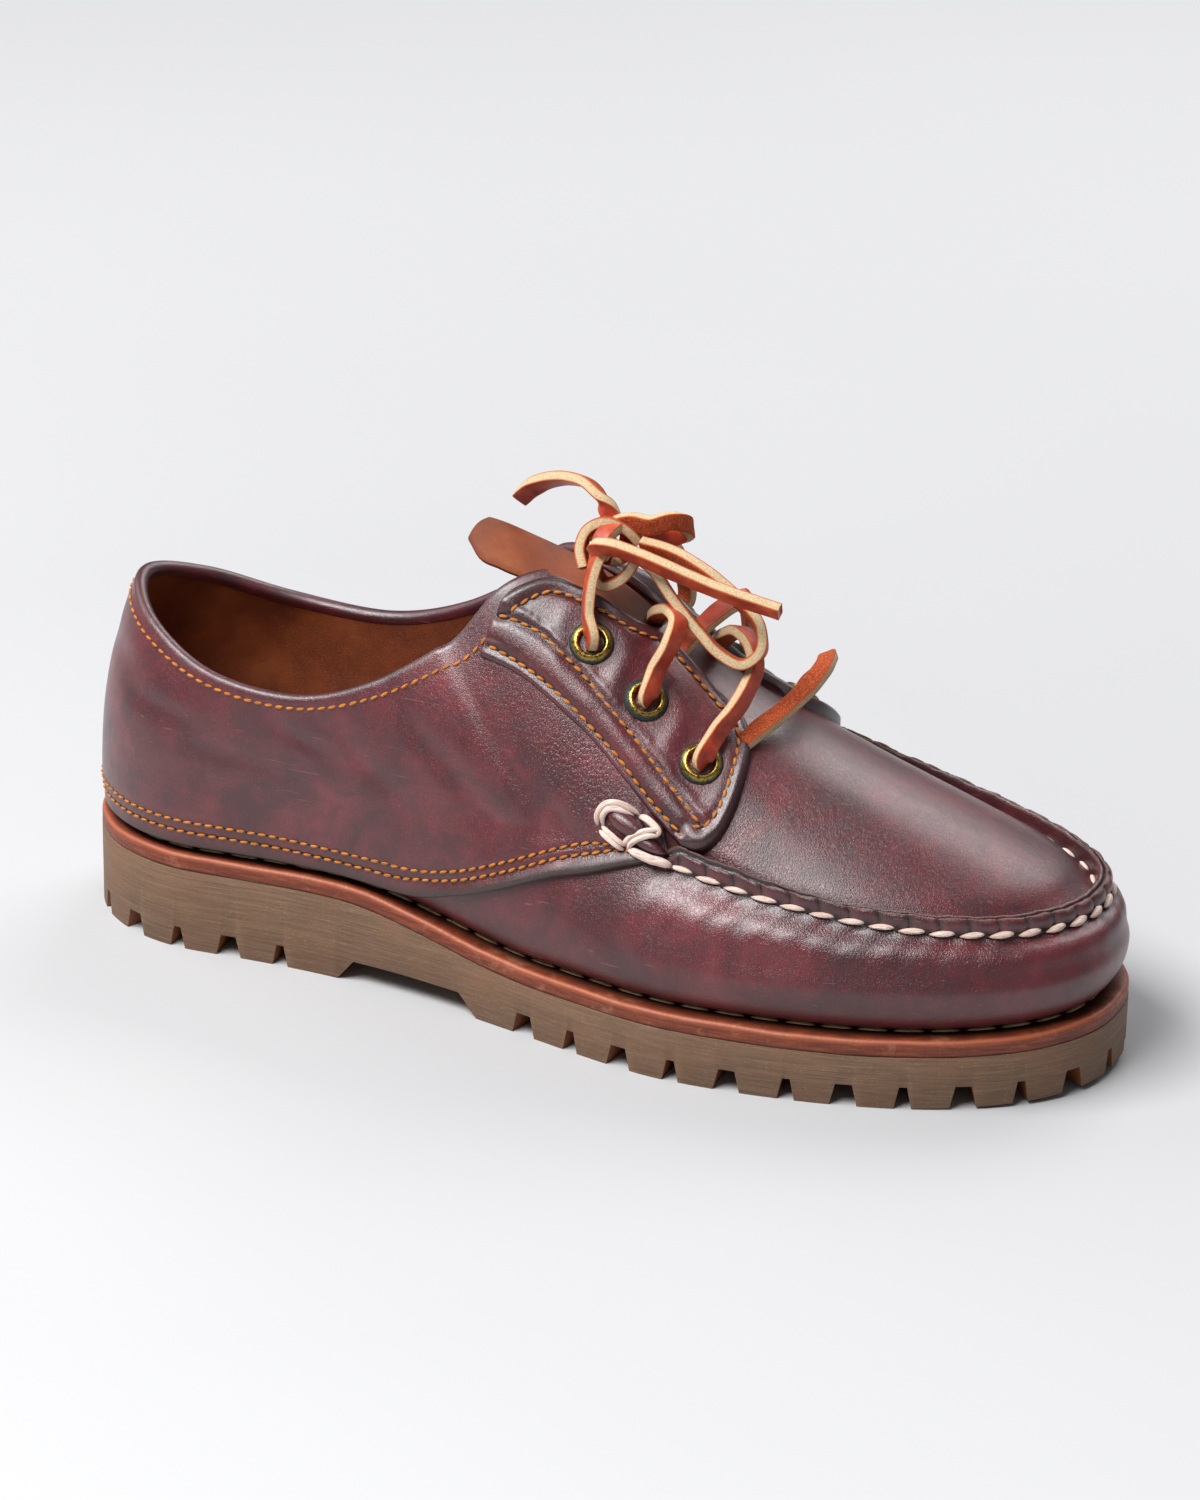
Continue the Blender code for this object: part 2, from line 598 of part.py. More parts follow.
def ring_prism(loops, low, high):
    """Points and faces of a prism over the band between two loops of equal length."""
    count = len(loops[0])
    points = [(x, y, z) for loop in loops for z in (low, high) for x, y in loop]
    faces = []
    for i in range(count):
        j = (i + 1) % count
        o_low, o_high, i_low, i_high = 0, count, 2 * count, 3 * count
        faces += [(o_low + i, o_low + j, o_high + j, o_high + i), (i_low + i, i_high + i, i_high + j, i_low + j),
                  (o_high + i, o_high + j, i_high + j, i_high + i), (o_low + i, i_low + i, i_low + j, o_low + j)]
    return points, faces


def bars_across(positions, width, inset, low, high):
    """Straight grooves across the tread between its side bands."""
    outer, inner, *_ = edge_lines(inset)
    verts, faces = [], []
    for x in positions:
        y0, y1 = float(outer(x)), float(inner(x))
        points, quads = prism([(x - width / 2, y0), (x + width / 2, y0), (x + width / 2, y1), (x - width / 2, y1)],
                              low, high)
        faces += [tuple(i + len(verts) for i in q) for q in quads]
        verts += points
    return verts, faces


def build_sole(rubber, leather):
    extra = [ARCH_FROM - HEEL_BREAST, ARCH_FROM, ARCH_TO - 6, ARCH_TO, SPRING_START, WEDGE_END, WEDGE_START]
    outsole = plate("outsole", 0.0, sole_bottom, rubber_top, rubber, extra, ends=10, middle=12)
    boolean(outsole, make("notches", *notch_cutters(), rubber))
    groove = LUG_REACH - 0.5
    fore = (ARCH_TO + ARCH_LAND, SOLE_LENGTH - GROOVE_FROM_TOE)
    rear = (GROOVE_FROM_HEEL, ARCH_FROM - ARCH_LAND - HEEL_BREAST)
    for low, high in (fore, rear):
        loops = band_outline(groove, groove + GROOVE_WIDTH, low, high)
        boolean(outsole, make("groove", *ring_prism(loops, -1.0, CENTRE_GROOVE), rubber))
    bars = bars_across(TREAD_BARS, GROOVE_WIDTH, groove + 2, -1.0, CENTRE_GROOVE)
    boolean(outsole, make("bars", *bars, rubber))
    tidy_mesh(outsole, 0.5)
    underside = lambda x: rubber_top(x) + GAP
    midsole = plate("midsole", 0.0, underside, midsole_top, leather, extra, ends=10, middle=12)
    bevel_top(midsole, MIDSOLE_BEVEL)
    return outsole, midsole


def bevel_top(item, size):
    """A small chamfer on a plate's upper edge."""
    work = bmesh.new()
    work.from_mesh(item.data)
    work.edges.ensure_lookup_table()
    edges = []
    for edge in work.edges:
        tops = [f for f in edge.link_faces if f.normal.z > 0.8]
        sides = [f for f in edge.link_faces if abs(f.normal.z) < 0.3]
        if len(tops) == 1 and len(sides) == 1:
            edges.append(edge)
    bmesh.ops.bevel(work, geom=edges, offset=size * MM, segments=1, affect="EDGES", profile=0.5)
    work.to_mesh(item.data)
    work.free()
    tidy_mesh(item, 0.5)


# Upper
def lip_size(turn):
    """Height share of the raised seam: 1 round the toe, falling to 0 at the apron's ends."""
    point = around(turn, 1.0)
    start = np.where(np.mod(turn, 2) <= 1, LIP_OUTER_START, LIP_INNER_START)
    return smooth((point[..., 0] - start) / LIP_FADE)


def lip_level(turn, reach):
    """Level on the plug at a share of the lip's width from the seam line."""
    share = np.where(np.mod(turn, 2) <= 1, np.mod(turn, 2), 2 - np.mod(turn, 2))
    distance = np.linalg.norm(around(turn, 2.0)[:, :2] - around(turn, 1.0)[:, :2], axis=1)
    part = np.minimum(reach * LIP_WIDTH / distance, 0.1 * reach)
    return 1 + part ** (1 / plan_power(share))


def lip_rows(turn):
    """The raised seam's section from its outer foot over the top to its inner foot on the plug."""
    size = lip_size(turn)[:, None]
    across = around(turn, 2.0)[:, :2] - around(turn, 1.0)[:, :2]
    distance = np.linalg.norm(across, axis=1, keepdims=True)
    inward = np.concatenate([across / distance, np.zeros((len(turn), 1))], axis=1)
    foot = around(turn, 1.0)
    rows = []
    for reach, rise in LIP_SECTION:
        on_plug = around(turn, lip_level(turn, reach))
        lifted = foot + inward * (reach * LIP_WIDTH) + np.array([0, 0, LIP_HEIGHT]) * rise
        rows.append(on_plug + (np.maximum(lifted, on_plug) - on_plug) * size * np.array([0, 0, 1.0]))
    return np.stack(rows)


def column_turns():
    """Turns of the upper's columns, closer together round the toe and the heel."""
    toe = np.linspace(0, TOE_SHARE, TOE_COLUMNS, endpoint=False)
    middle = np.linspace(TOE_SHARE, HEEL_SHARE, MIDDLE_COLUMNS, endpoint=False)
    heel = np.linspace(HEEL_SHARE, 1, HEEL_COLUMNS)
    half = np.concatenate([toe, middle, heel])
    return np.concatenate([half[:-1], 2 - half[:0:-1]])


def build_upper(leather):
    turns = column_turns()
    below = [around(turns, level) for level in BELOW_LEVELS]
    lip = list(lip_rows(turns))
    start = lip_level(turns, 1.0)
    above = [around(turns, start + (2 - start) * part) for part in ABOVE_SHARES]
    inside = [raised(turns, np.full_like(turns, level), np.full_like(turns, -WALL)) for level in INSIDE_LEVELS]
    rows = np.stack(below + lip + above + inside)
    return make("upper", rows.reshape(-1, 3), ring_faces(len(rows), len(turns)), leather)


def eyestay_plan(rows, count_along, count_across):
    """Plan grid of an eyestay: rows by smooth curves through the table's own rows, and across each
    row a forward bow shaped like a superellipse, which rounds the lobe in front."""
    knots = np.linspace(0, 1, len(rows))
    along = np.linspace(0, 1, count_along)
    columns = [through(knots, [row[k] for row in rows], along)[:, None] for k in range(5)]
    x_inner, y_inner, x_outer, y_outer, bow = columns
    across = (1 - np.cos(np.linspace(0, math.pi, count_across)))[None, :] / 2
    forward = bow * (1 - np.abs(2 * across - 1) ** LOBE_POWER) ** (1 / LOBE_POWER)
    return np.stack([x_inner + (x_outer - x_inner) * across + forward,
                     y_inner + (y_outer - y_inner) * across], axis=-1)


def first_guess(points):
    """Nearest of a coarse set of shell points in plan, as a start for place_on_shell."""
    turn, level = np.meshgrid(np.linspace(0, 2, 161)[:-1], np.linspace(1.03, 1.99, 49), indexing="ij")
    spots = around(turn, level)[..., :2].reshape(-1, 2)
    flat = points.reshape(-1, 2)
    nearest = np.array([np.argmin(((spots - p) ** 2).sum(axis=1)) for p in flat])
    return (turn.ravel()[nearest].reshape(points.shape[:-1]), level.ravel()[nearest].reshape(points.shape[:-1]))


def on_shell(points):
    points = np.asarray(points, float)
    return place_on_shell(points, *first_guess(points))


def build_eyestay(name, rows, leather):
    plan = eyestay_plan(rows, 12, 7)
    turn, level = on_shell(plan)
    return slab(name, raised(turn, level, np.full_like(turn, EYESTAY_TOP)),
                raised(turn, level, np.full_like(turn, EYESTAY_GAP)), leather)


def quarter_top(rows, sign):
    """Share and level of the line just outside an eyestay's outer edge."""
    plan = eyestay_plan(rows, 30, 3)[:, -1] + np.array([0, sign * EDGE_GAP])
    turn, level = on_shell(plan)
    share = np.where(turn <= 1, turn, 2 - turn)
    order = np.argsort(share)
    return share[order], level[order]


def build_quarter(leather):
    """The overlay has the upper's own columns and rows, held between its lower and upper cut edges.
    Rows that both edges cut off fall together and are merged."""
    turns = column_turns()
    tops = {-1: quarter_top(EYESTAY_OUTER, -1), 1: quarter_top(EYESTAY_INNER, 1)}
    first, last = tops[-1][0].min() + 0.002, 2 - tops[1][0].min() - 0.002
    inside = (turns > first + 0.006) & (turns < last - 0.006)
    turns = np.concatenate([[first], turns[inside], [last]])
    share = np.where(turns <= 1, turns, 2 - turns)
    low = table(QUARTER_LOW, share)
    high = np.empty_like(turns)
    for i, (turn, part) in enumerate(zip(turns, share)):
        shares, levels = tops[-1 if turn <= 1 else 1]
        past = smooth((part - shares.max()) / 0.02)
        high[i] = np.interp(part, shares, levels) * (1 - past) + 2.0 * past
    start = lip_level(turns, 1.0)
    below = [np.full_like(turns, level) for level in BELOW_LEVELS[2:]] + [np.ones_like(turns)]
    above = [start + (2 - start) * part for part in QUARTER_ABOVE]
    levels = np.clip(np.stack([low] + below + above + [high]), low, high)
    turn = np.broadcast_to(turns, levels.shape)
    return slab("quarter", raised(turn, levels, np.full_like(levels, QUARTER_TOP)),
                raised(turn, levels, np.full_like(levels, SEAT_GAP)), leather)


def build_tongue(leather):
    xs = [row[0] for row in TONGUE_ROWS]
    at = np.linspace(xs[0], xs[-1], 11)
    middle, half = through(xs, [r[1] for r in TONGUE_ROWS], at), through(xs, [r[2] for r in TONGUE_ROWS], at)
    across = np.linspace(-1, 1, 7)
    x = np.broadcast_to(at[:, None], (11, 7))
    y = middle[:, None] + half[:, None] * across
    top = on_arch(x, y, np.full_like(x, -(WALL + TONGUE_GAP)))
    low = on_arch(x, y, np.full_like(x, -(WALL + TONGUE_GAP + TONGUE)))
    return slab("tongue", top, low, leather)


def build_insole(leather):
    inset = lambda share: LEDGE_FRONT + (LEDGE_HEEL - LEDGE_FRONT) * smooth((share - 0.5) / 0.3) + INSOLE_MARGIN
    bottom = lambda x: midsole_top(x) + INSOLE_SEAT
    return plate("insole", inset(_FINE), bottom, lambda x: bottom(x) + INSOLE, leather,
                 [SPRING_START, WEDGE_END, WEDGE_START], ends=8, middle=12)


# Eyelets and lace
def frame_at(spot):
    """Centre on the shell, its normal and two directions across it, at a plan point."""
    turn, level = on_shell(np.array([spot], float))
    base = raised(turn, level, np.zeros(1))[0]
    normal = raised(turn, level, np.ones(1))[0] - base
    normal /= np.linalg.norm(normal)
    first = np.cross(normal, [0.0, 0.0, 1.0])
    first /= np.linalg.norm(first)
    return base, normal, first, np.cross(normal, first)


def turned(spot, profile, sides=EYELET_SIDES):
    """Points and faces of a turned ring or cylinder. The profile is radius and height, closed."""
    base, normal, first, second = frame_at(spot)
    points, faces = [], []
    count = len(profile)
    for k in range(sides):
        angle = 2 * math.pi * k / sides
        out = first * math.cos(angle) + second * math.sin(angle)
        points += [base + out * radius + normal * height for radius, height in profile]
    for k in range(sides):
        for i in range(count):
            j, n = (i + 1) % count, (k + 1) % sides
            faces.append((k * count + i, k * count + j, n * count + j, n * count + i))
    return points, faces


def drill(spot):
    """Cylinder through all layers at an eyelet."""
    base, normal, first, second = frame_at(spot)
    points, sides = [], EYELET_SIDES
    for height in (-WALL - 4, EYESTAY_TOP + 4):
        for k in range(sides):
            angle = 2 * math.pi * k / sides
            out = first * math.cos(angle) + second * math.sin(angle)
            points.append(base + out * HOLE_RADIUS + normal * height)
    faces = [tuple(range(sides - 1, -1, -1)), tuple(range(sides, 2 * sides))]
    faces += [(k, (k + 1) % sides, (k + 1) % sides + sides, k + sides) for k in range(sides)]
    return points, faces


def build_eyelets(upper, stays, brass):
    top = EYESTAY_TOP + EYELET_SEAT
    low = -WALL - 0.5
    profile = [(EYELET_HOLE, low), (EYELET_BARREL, low), (EYELET_BARREL, top), (EYELET_RADIUS, top),
               (EYELET_RADIUS - 0.4, top + 0.7), (EYELET_RADIUS - 1.4, top + EYELET_DOME),
               (EYELET_HOLE, top + 0.6)]
    for sign, side in ((-1, "outer"), (1, "inner")):
        for number, spot in enumerate(EYELETS[sign], start=1):
            boolean(upper, make("drill", *drill(spot), brass))
            boolean(stays[sign], make("drill", *drill(spot), brass))
            ring = make(f"eyelet_{side}_{number}", *turned(spot, profile), brass)
            tidy_mesh(ring, 0.7)


def knot_edge(towards):
    """The point just outside the knot in the direction of another point."""
    direction = np.array(towards, float) - np.array(KNOT)
    direction /= np.linalg.norm(direction)
    reach = 1 / np.linalg.norm(direction / np.array(KNOT_RADII))
    return np.array(KNOT) + direction * (reach + KNOT_GAP)


def smooth_route(route, count):
    """Evenly spaced points of a smooth curve through a route."""
    length = np.concatenate([[0], np.cumsum(np.linalg.norm(np.diff(route, axis=0), axis=1))])
    at = np.linspace(0, length[-1], count)
    return np.stack([through(length, route[:, k], at) for k in range(3)], axis=1)


def lace_path(first, last, count=7):
    """From above one eyelet to above another, following the top of the foot at a set height."""
    across = np.linspace(0, 1, count)[:, None]
    plan = np.array(first) + (np.array(last) - np.array(first)) * across
    path = on_arch(plan[:, 0], plan[:, 1], np.full(count, LACE_LIFT))
    for end, spot in ((0, first), (-1, last)):
        base, normal, *_ = frame_at(spot)
        path[end] = base + normal * LACE_LIFT
    return path


def tube(name, path, width, skin):
    """A lace drawn as a curve with a round section."""
    curve = bpy.data.curves.new(name, "CURVE")
    curve.dimensions = "3D"
    curve.bevel_depth = width / 2 * MM
    curve.bevel_resolution = 2
    curve.use_fill_caps = True
    line = curve.splines.new("POLY")
    line.points.add(len(path) - 1)
    for point, place in zip(line.points, path):
        point.co = (*((np.array(place) - np.array([HEEL_CENTRE, 0, 0])) * MM), 1.0)
    curve.materials.append(skin)
    made = bpy.data.objects.new(name, curve)
    bpy.context.scene.collection.objects.link(made)
    return made


def round_bar(path, width, sides=8):
    """Points and faces of a closed round bar along a path."""
    path = np.asarray(path, float)
    along = np.gradient(path, axis=0)
    along /= np.linalg.norm(along, axis=1, keepdims=True)
    side = np.cross(along, [0.0, 0.0, 1.0])
    side /= np.linalg.norm(side, axis=1, keepdims=True)
    over = np.cross(side, along)
    points, faces = [], []
    for centre, one, two in zip(path, side, over):
        for k in range(sides):
            angle = 2 * math.pi * (k + 0.5) / sides
            points.append(centre + (one * math.cos(angle) + two * math.sin(angle)) * width / 2)
    count = len(path)
    for i in range(count - 1):
        for k in range(sides):
            n = (k + 1) % sides
            faces.append((i * sides + k, i * sides + n, (i + 1) * sides + n, (i + 1) * sides + k))
    faces += [tuple(range(sides)), tuple((count - 1) * sides + k for k in range(sides - 1, -1, -1))]
    return points, faces


def build_lace(rawhide):
    outer, inner = EYELETS[-1], EYELETS[1]
    pairs = [(outer[0], inner[0]), (outer[0], inner[1]), (inner[0], outer[1]), (outer[1], inner[2]),
             (inner[1], outer[2])]
    crossings = None
    for first, last in pairs:
        name = "lace_crossings" if crossings is None else "bar"
        bar = make(name, *round_bar(lace_path(first, last), LACE, 6), rawhide)
        if crossings is None:
            crossings = bar
        else:
            boolean(crossings, bar, "UNION")
    for spot, side in ((outer[2], -1), (inner[2], 1)):
        base, normal, *_ = frame_at(spot)
        low = base + normal * LACE_LIFT
        towards = np.array([low[0] - 2, low[1] * 0.75 + KNOT[1] * 0.25, (low[2] + KNOT[2]) / 2 + 3])
        route = np.array([low, towards, knot_edge(towards)])
        strand = make("strand", *round_bar(smooth_route(route, 7), LACE, 6), rawhide)
        boolean(crossings, strand, "UNION")
    tidy_mesh(crossings, 0.7)
    ball, quads = [], []
    rings, sides = 7, 12
    for i in range(1, rings):
        height = math.cos(math.pi * i / rings)
        reach = math.sin(math.pi * i / rings)
        for k in range(sides):
            angle = 2 * math.pi * k / sides
            ball.append((KNOT[0] + KNOT_RADII[0] * reach * math.cos(angle),
                         KNOT[1] + KNOT_RADII[1] * reach * math.sin(angle), KNOT[2] + KNOT_RADII[2] * height))
    for i in range(rings - 2):
        for k in range(sides):
            n = (k + 1) % sides
            quads.append((i * sides + k, (i + 1) * sides + k, (i + 1) * sides + n, i * sides + n))
    quads += [tuple(range(sides)), tuple((rings - 2) * sides + k for k in range(sides - 1, -1, -1))]
    make("lace_knot", ball, quads, rawhide)
    for name, route in LOOSE_LACE.items():
        last = [knot_edge(route[-1])] if "loop" in name else []
        route = np.array([knot_edge(route[0])] + list(route) + last)
        length = np.linalg.norm(np.diff(route, axis=0), axis=1).sum()
        tube(name, smooth_route(route, int(length / (2.8 * LACE)) + 2), LACE, rawhide)


def main():
    clear_scene()
    burgundy = material("burgundy leather", (0.13, 0.025, 0.03), 0.38)
    inside = material("tan lining leather", (0.45, 0.16, 0.06), 0.6)
    rubber = material("gum rubber", (0.2, 0.13, 0.08), 0.7)
    welt = material("red brown midsole leather", (0.3, 0.08, 0.04), 0.55)
    brass = material("aged brass", (0.5, 0.33, 0.12), 0.35, 1.0)
    rawhide = material("rawhide lace", (0.6, 0.2, 0.07), 0.7)
    build_sole(rubber, welt)
    upper = build_upper(burgundy)
    build_insole(inside)
    tongue = build_tongue(inside)
    quarter = build_quarter(burgundy)
    stays = {-1: build_eyestay("eyestay_outer", EYESTAY_OUTER, burgundy),
             1: build_eyestay("eyestay_inner", EYESTAY_INNER, burgundy)}
    build_eyelets(upper, stays, brass)
    for item in (upper, quarter, tongue, *stays.values()):
        tidy_mesh(item, 0.7)
    build_lace(rawhide)


main()
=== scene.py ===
"""Looks of a right boat shoe: leather, seams, stitches, eyelets, rawhide lace and lug sole.

Sizes are in millimetres and are turned to metres when a mesh is made. X runs from the back of the
heel (0) to the toe, Y is minus on the outer side and Z is 0 on the floor. The pieces are shifted so
that X = 0 is the middle of the heel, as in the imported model.
"""

import math
from collections import namedtuple

import bmesh
import bpy
import numpy as np
from mathutils import Matrix, Vector


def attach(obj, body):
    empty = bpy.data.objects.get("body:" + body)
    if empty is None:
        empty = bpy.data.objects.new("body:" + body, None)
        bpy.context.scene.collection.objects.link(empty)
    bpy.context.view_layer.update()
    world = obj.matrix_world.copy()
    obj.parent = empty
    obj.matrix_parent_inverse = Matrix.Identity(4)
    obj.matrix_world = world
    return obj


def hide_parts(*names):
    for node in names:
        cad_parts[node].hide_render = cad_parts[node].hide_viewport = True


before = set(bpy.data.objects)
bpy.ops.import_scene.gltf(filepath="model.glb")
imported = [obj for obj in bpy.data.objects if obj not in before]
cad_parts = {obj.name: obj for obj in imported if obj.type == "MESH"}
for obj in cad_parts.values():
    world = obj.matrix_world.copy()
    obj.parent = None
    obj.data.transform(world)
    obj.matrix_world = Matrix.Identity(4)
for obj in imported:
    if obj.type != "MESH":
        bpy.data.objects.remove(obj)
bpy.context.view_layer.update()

MM = 0.001
GAP = 0.3

# Sole
SOLE_LENGTH = 300.0
HEEL_CENTRE = 38.0
HEEL_SHIFT = np.array([HEEL_CENTRE, 0, 0])
TOE_TIP_Y = 4.0
RUBBER_FRONT, RUBBER_HEEL = 14.8, 24.0
WEDGE_START, WEDGE_END = 150.0, 82.0
TOE_SPRING, SPRING_START = 2.0, 232.0
LUG_DEPTH, LUG_PITCH, LUG_REACH = 6.2, 15.8, 15.0
FIRST_NOTCH = 8.0
WIDE_NOTCH, NARROW_NOTCH = (7.4, 4.6), (4.6, 2.2)
ARCH_FROM, ARCH_TO = 92.0, 132.0
MIDSOLE = 4.4
CENTRE_GROOVE = 5.0
GROOVES = ((ARCH_TO + 12, 282.0), (15.0, ARCH_FROM - 17))
TREAD_BARS = (25.0, 51.0, 168.0, 197.0, 226.0, 255.0)
BAR_WIDTH = 4.5

# Upper
WALL = 2.2
LEDGE_FRONT, LEDGE_HEEL = 8.5, 6.0
BULGE_HEIGHT = 12.0
LIP_HEIGHT, LIP_WIDTH = 4.9, 3.7
LIP_OUTER_START, LIP_INNER_START = 184.0, 197.0
LIP_FADE = 7.0
APRON_LENGTH = 175.0
QUARTER_TOP = 1.7
QUARTER_START = 0.403
COLLAR_START = 0.50
COLLAR_SEAM = 2 - 3.4 / 42
QUARTER_SEAMS = (5.0, 8.2)
EYESTAY_TOP = 2.8
STAY_SEAM = 3.9
TONGUE, TONGUE_GAP = 2.4, 0.5
INSOLE = 3.0
SEAM_PITCH = 8.0
FINE_PITCH = 3.2
WELT_PITCH = 9.6

Side = namedtuple("Side", "ball_x ball_y toe_along toe_across heel_x heel_y waist sign")
SOLE_OUTER = Side(191, -55.7, 1.9, 2.36, 42, -37.5, 6.3, -1)
SOLE_INNER = Side(215, 50.0, 2.2, 2.16, 42, 36.5, 9.5, 1)
SEAM_OUTER = Side(205, -42.5, 2.2, 2.2, 42, -35.5, 1.5, -1)
SEAM_INNER = Side(212, 44.0, 2.4, 2.2, 42, 34.5, 3.5, 1)
SEAM_FRONT, SEAM_TIP_Y, SEAM_BACK = 292.0, 8.0, 3.0
TOE_SHARE, HEEL_SHARE = 0.365, 0.818

SEAM_HEIGHT = {
    -1: [(0, 58), (90, 57), (165, 58), (180, 57), (200, 53.5), (225, 50), (250, 47.5), (275, 45.8),
         (295, 45)],
    1: [(0, 58), (90, 60), (165, 63), (185, 63), (203, 61), (225, 55.5), (250, 50.5), (275, 46.8),
        (295, 45)],
}
RIDGE = [(95, 130), (110, 129.5), (118, 128.5), (127, 126), (137, 122), (151, 115.8), (165, 105.8), (187, 90),
         (205, 81.5), (225, 73.8), (245, 66.4), (265, 58.6), (280, 52), (292, 45.6)]
RIDGE_Y = [(95, 1), (130, 3.5), (165, 4), (190, 3.5), (215, 3), (250, 3), (275, 5), (292, 8)]
TopEdge = namedtuple("TopEdge", "share x y_outer y_inner z")
TOP_EDGE = [
    TopEdge(-0.10, 164.5, 10.5, -1.5, 0),
    TopEdge(0.00, 166, 4, 4, 0),
    TopEdge(0.10, 164.5, -1.5, 10.5, 0),
    TopEdge(0.20, 158, -6.0, 15.5, 0),
    TopEdge(0.30, 148, -7.5, 16.5, 0),
    TopEdge(0.40, 137, -9, 16.5, 0),
    TopEdge(0.48, 127, -17, 21, 0),
    TopEdge(0.56, 113, -26.5, 28, 98),
    TopEdge(0.64, 96, -31.5, 31.5, 87),
    TopEdge(0.74, 72, -33.5, 32.5, 79.5),
    TopEdge(0.84, 42, -30, 29, 82),
    TopEdge(0.92, 21, -18.5, 17.5, 90),
    TopEdge(1.00, 11, 0, 0, 95),
    TopEdge(1.08, 21, 17.5, -18.5, 90),
]
# The quarter's cut lower edge: share round against level
QUARTER_LOW = [(0.40, 1.26), (0.412, 1.16), (0.422, 1.08), (0.432, 0.985), (0.445, 0.925), (0.46, 0.86),
               (0.49, 0.76),
               (0.53, 0.58), (0.571, 0.4), (0.612, 0.26), (0.66, 0.19), (0.75, 0.18), (1.0, 0.18)]
EyestayRow = namedtuple("EyestayRow", "x_inner y_inner x_outer y_outer bow")
EYESTAY = {
    -1: [
        EyestayRow(128.5, -16.4, 124.5, -25.4, 0),
        EyestayRow(138.0, -9.8, 137.0, -27.0, 0),
        EyestayRow(148.5, -8.0, 148.0, -29.2, 0),
        EyestayRow(159.0, -6.4, 160.0, -31.4, 0),
        EyestayRow(168.0, -2.8, 170.5, -34.2, 1),
        EyestayRow(178.0, -3.8, 180.5, -37.0, 4.5),
        EyestayRow(187.5, -6.4, 190.0, -39.4, 11.2),
    ],
    1: [
        EyestayRow(128.5, 21.2, 124.5, 30.0, 0),
        EyestayRow(138.0, 17.4, 137.0, 32.2, 0),
        EyestayRow(148.5, 17.2, 148.0, 34.2, 0),
        EyestayRow(159.0, 15.8, 160.0, 36.0, 0),
        EyestayRow(169.0, 12.2, 171.5, 37.6, 1),
        EyestayRow(181.0, 13.4, 184.0, 39.0, 4.5),
        EyestayRow(193.5, 16.6, 197.0, 39.8, 11.2),
    ],
}
EYELETS = {
    -1: [(188.0, -25.0), (170.3, -21.2), (153.4, -18.4)],
    1: [(196.0, 27.5), (178.0, 26.0), (160.5, 24.6)],
}
# X, middle and half width
TONGUE_ROWS = [(112, 2, 9), (116, 2, 13), (124, 2.5, 14.5), (134, 3.5, 14.5), (146, 4, 15.5),
               (160, 4, 16), (174, 4, 15),
               (184, 4, 12)]


# Shape of the shoe
def smooth(value):
    """0 below 0, 1 above 1, an S curve between."""
    value = np.clip(value, 0.0, 1.0)
    return value * value * (3 - 2 * value)


def bell(value):
    """1 at 0 and falling away on both sides as a Gauss curve."""
    return np.exp(-(value**2))


def unit(vectors):
    return vectors / np.maximum(np.linalg.norm(vectors, axis=-1, keepdims=True), 1e-9)


def distance_along(path):
    """The length along a path up to each of its points."""
    return np.concatenate([[0], np.cumsum(np.linalg.norm(np.diff(path, axis=0), axis=1))])


def share_at(turn):
    """Share from the toe (0) to the heel (1) at a turn of 0 to 2 round the shoe."""
    return np.minimum(turn, 2 - turn)


def rear(share, first, span):
    """0 in front of a share, 1 behind it by a span."""
    return smooth((np.asarray(share) - first) / span)


def through(knots, values, at):
    """A smooth curve through (knot, value) points: cubic Hermite, its slopes from the neighbours."""
    knots, values = np.asarray(knots, float), np.asarray(values, float)
    slope = np.gradient(values, knots)
    at = np.clip(np.asarray(at, float), knots[0], knots[-1])
    i = np.clip(np.searchsorted(knots, at, side="right") - 1, 0, len(knots) - 2)
    step = knots[i + 1] - knots[i]
    s = (at - knots[i]) / step
    return (
        (2 * s**3 - 3 * s**2 + 1) * values[i]
        + (s**3 - 2 * s**2 + s) * step * slope[i]
        + (3 * s**2 - 2 * s**3) * values[i + 1]
        + (s**3 - s**2) * step * slope[i + 1]
    )


def table(rows, at):
    return through([r[0] for r in rows], [r[1] for r in rows], at)


def half_loop(side, share, front, tip_y, back):
    """Half of a plan outline, from toe tip (share 0) to heel back (1): a superellipse quarter to
    the ball, an S curve with a waist to the heel, and a quarter ellipse round the heel."""
    share = np.asarray(share, float)
    toe = np.clip(share / TOE_SHARE, 0, 1) * math.pi / 2
    x_toe = side.ball_x + (front - side.ball_x) * np.cos(toe) ** (2 / side.toe_along)
    y_toe = tip_y + (side.ball_y - tip_y) * np.sin(toe) ** (2 / side.toe_across)
    middle = np.clip((share - TOE_SHARE) / (HEEL_SHARE - TOE_SHARE), 0, 1)
    x_mid = side.ball_x + (side.heel_x - side.ball_x) * middle
    y_mid = (
        side.ball_y
        + (side.heel_y - side.ball_y) * smooth(middle)
        - side.sign * side.waist * (4 * middle * (1 - middle)) ** 1.5
    )
    heel = np.clip((share - HEEL_SHARE) / (1 - HEEL_SHARE), 0, 1) * math.pi / 2
    x_heel = side.heel_x - (side.heel_x - back) * np.sin(heel)
    y_heel = side.heel_y * np.cos(heel)
    x = np.where(share < TOE_SHARE, x_toe, np.where(share < HEEL_SHARE, x_mid, x_heel))
    y = np.where(share < TOE_SHARE, y_toe, np.where(share < HEEL_SHARE, y_mid, y_heel))
    return np.stack([x, y], axis=-1)


def sole_edge(sign, share):
    side = SOLE_OUTER if sign < 0 else SOLE_INNER
    return half_loop(side, share, SOLE_LENGTH, TOE_TIP_Y, 0.0)


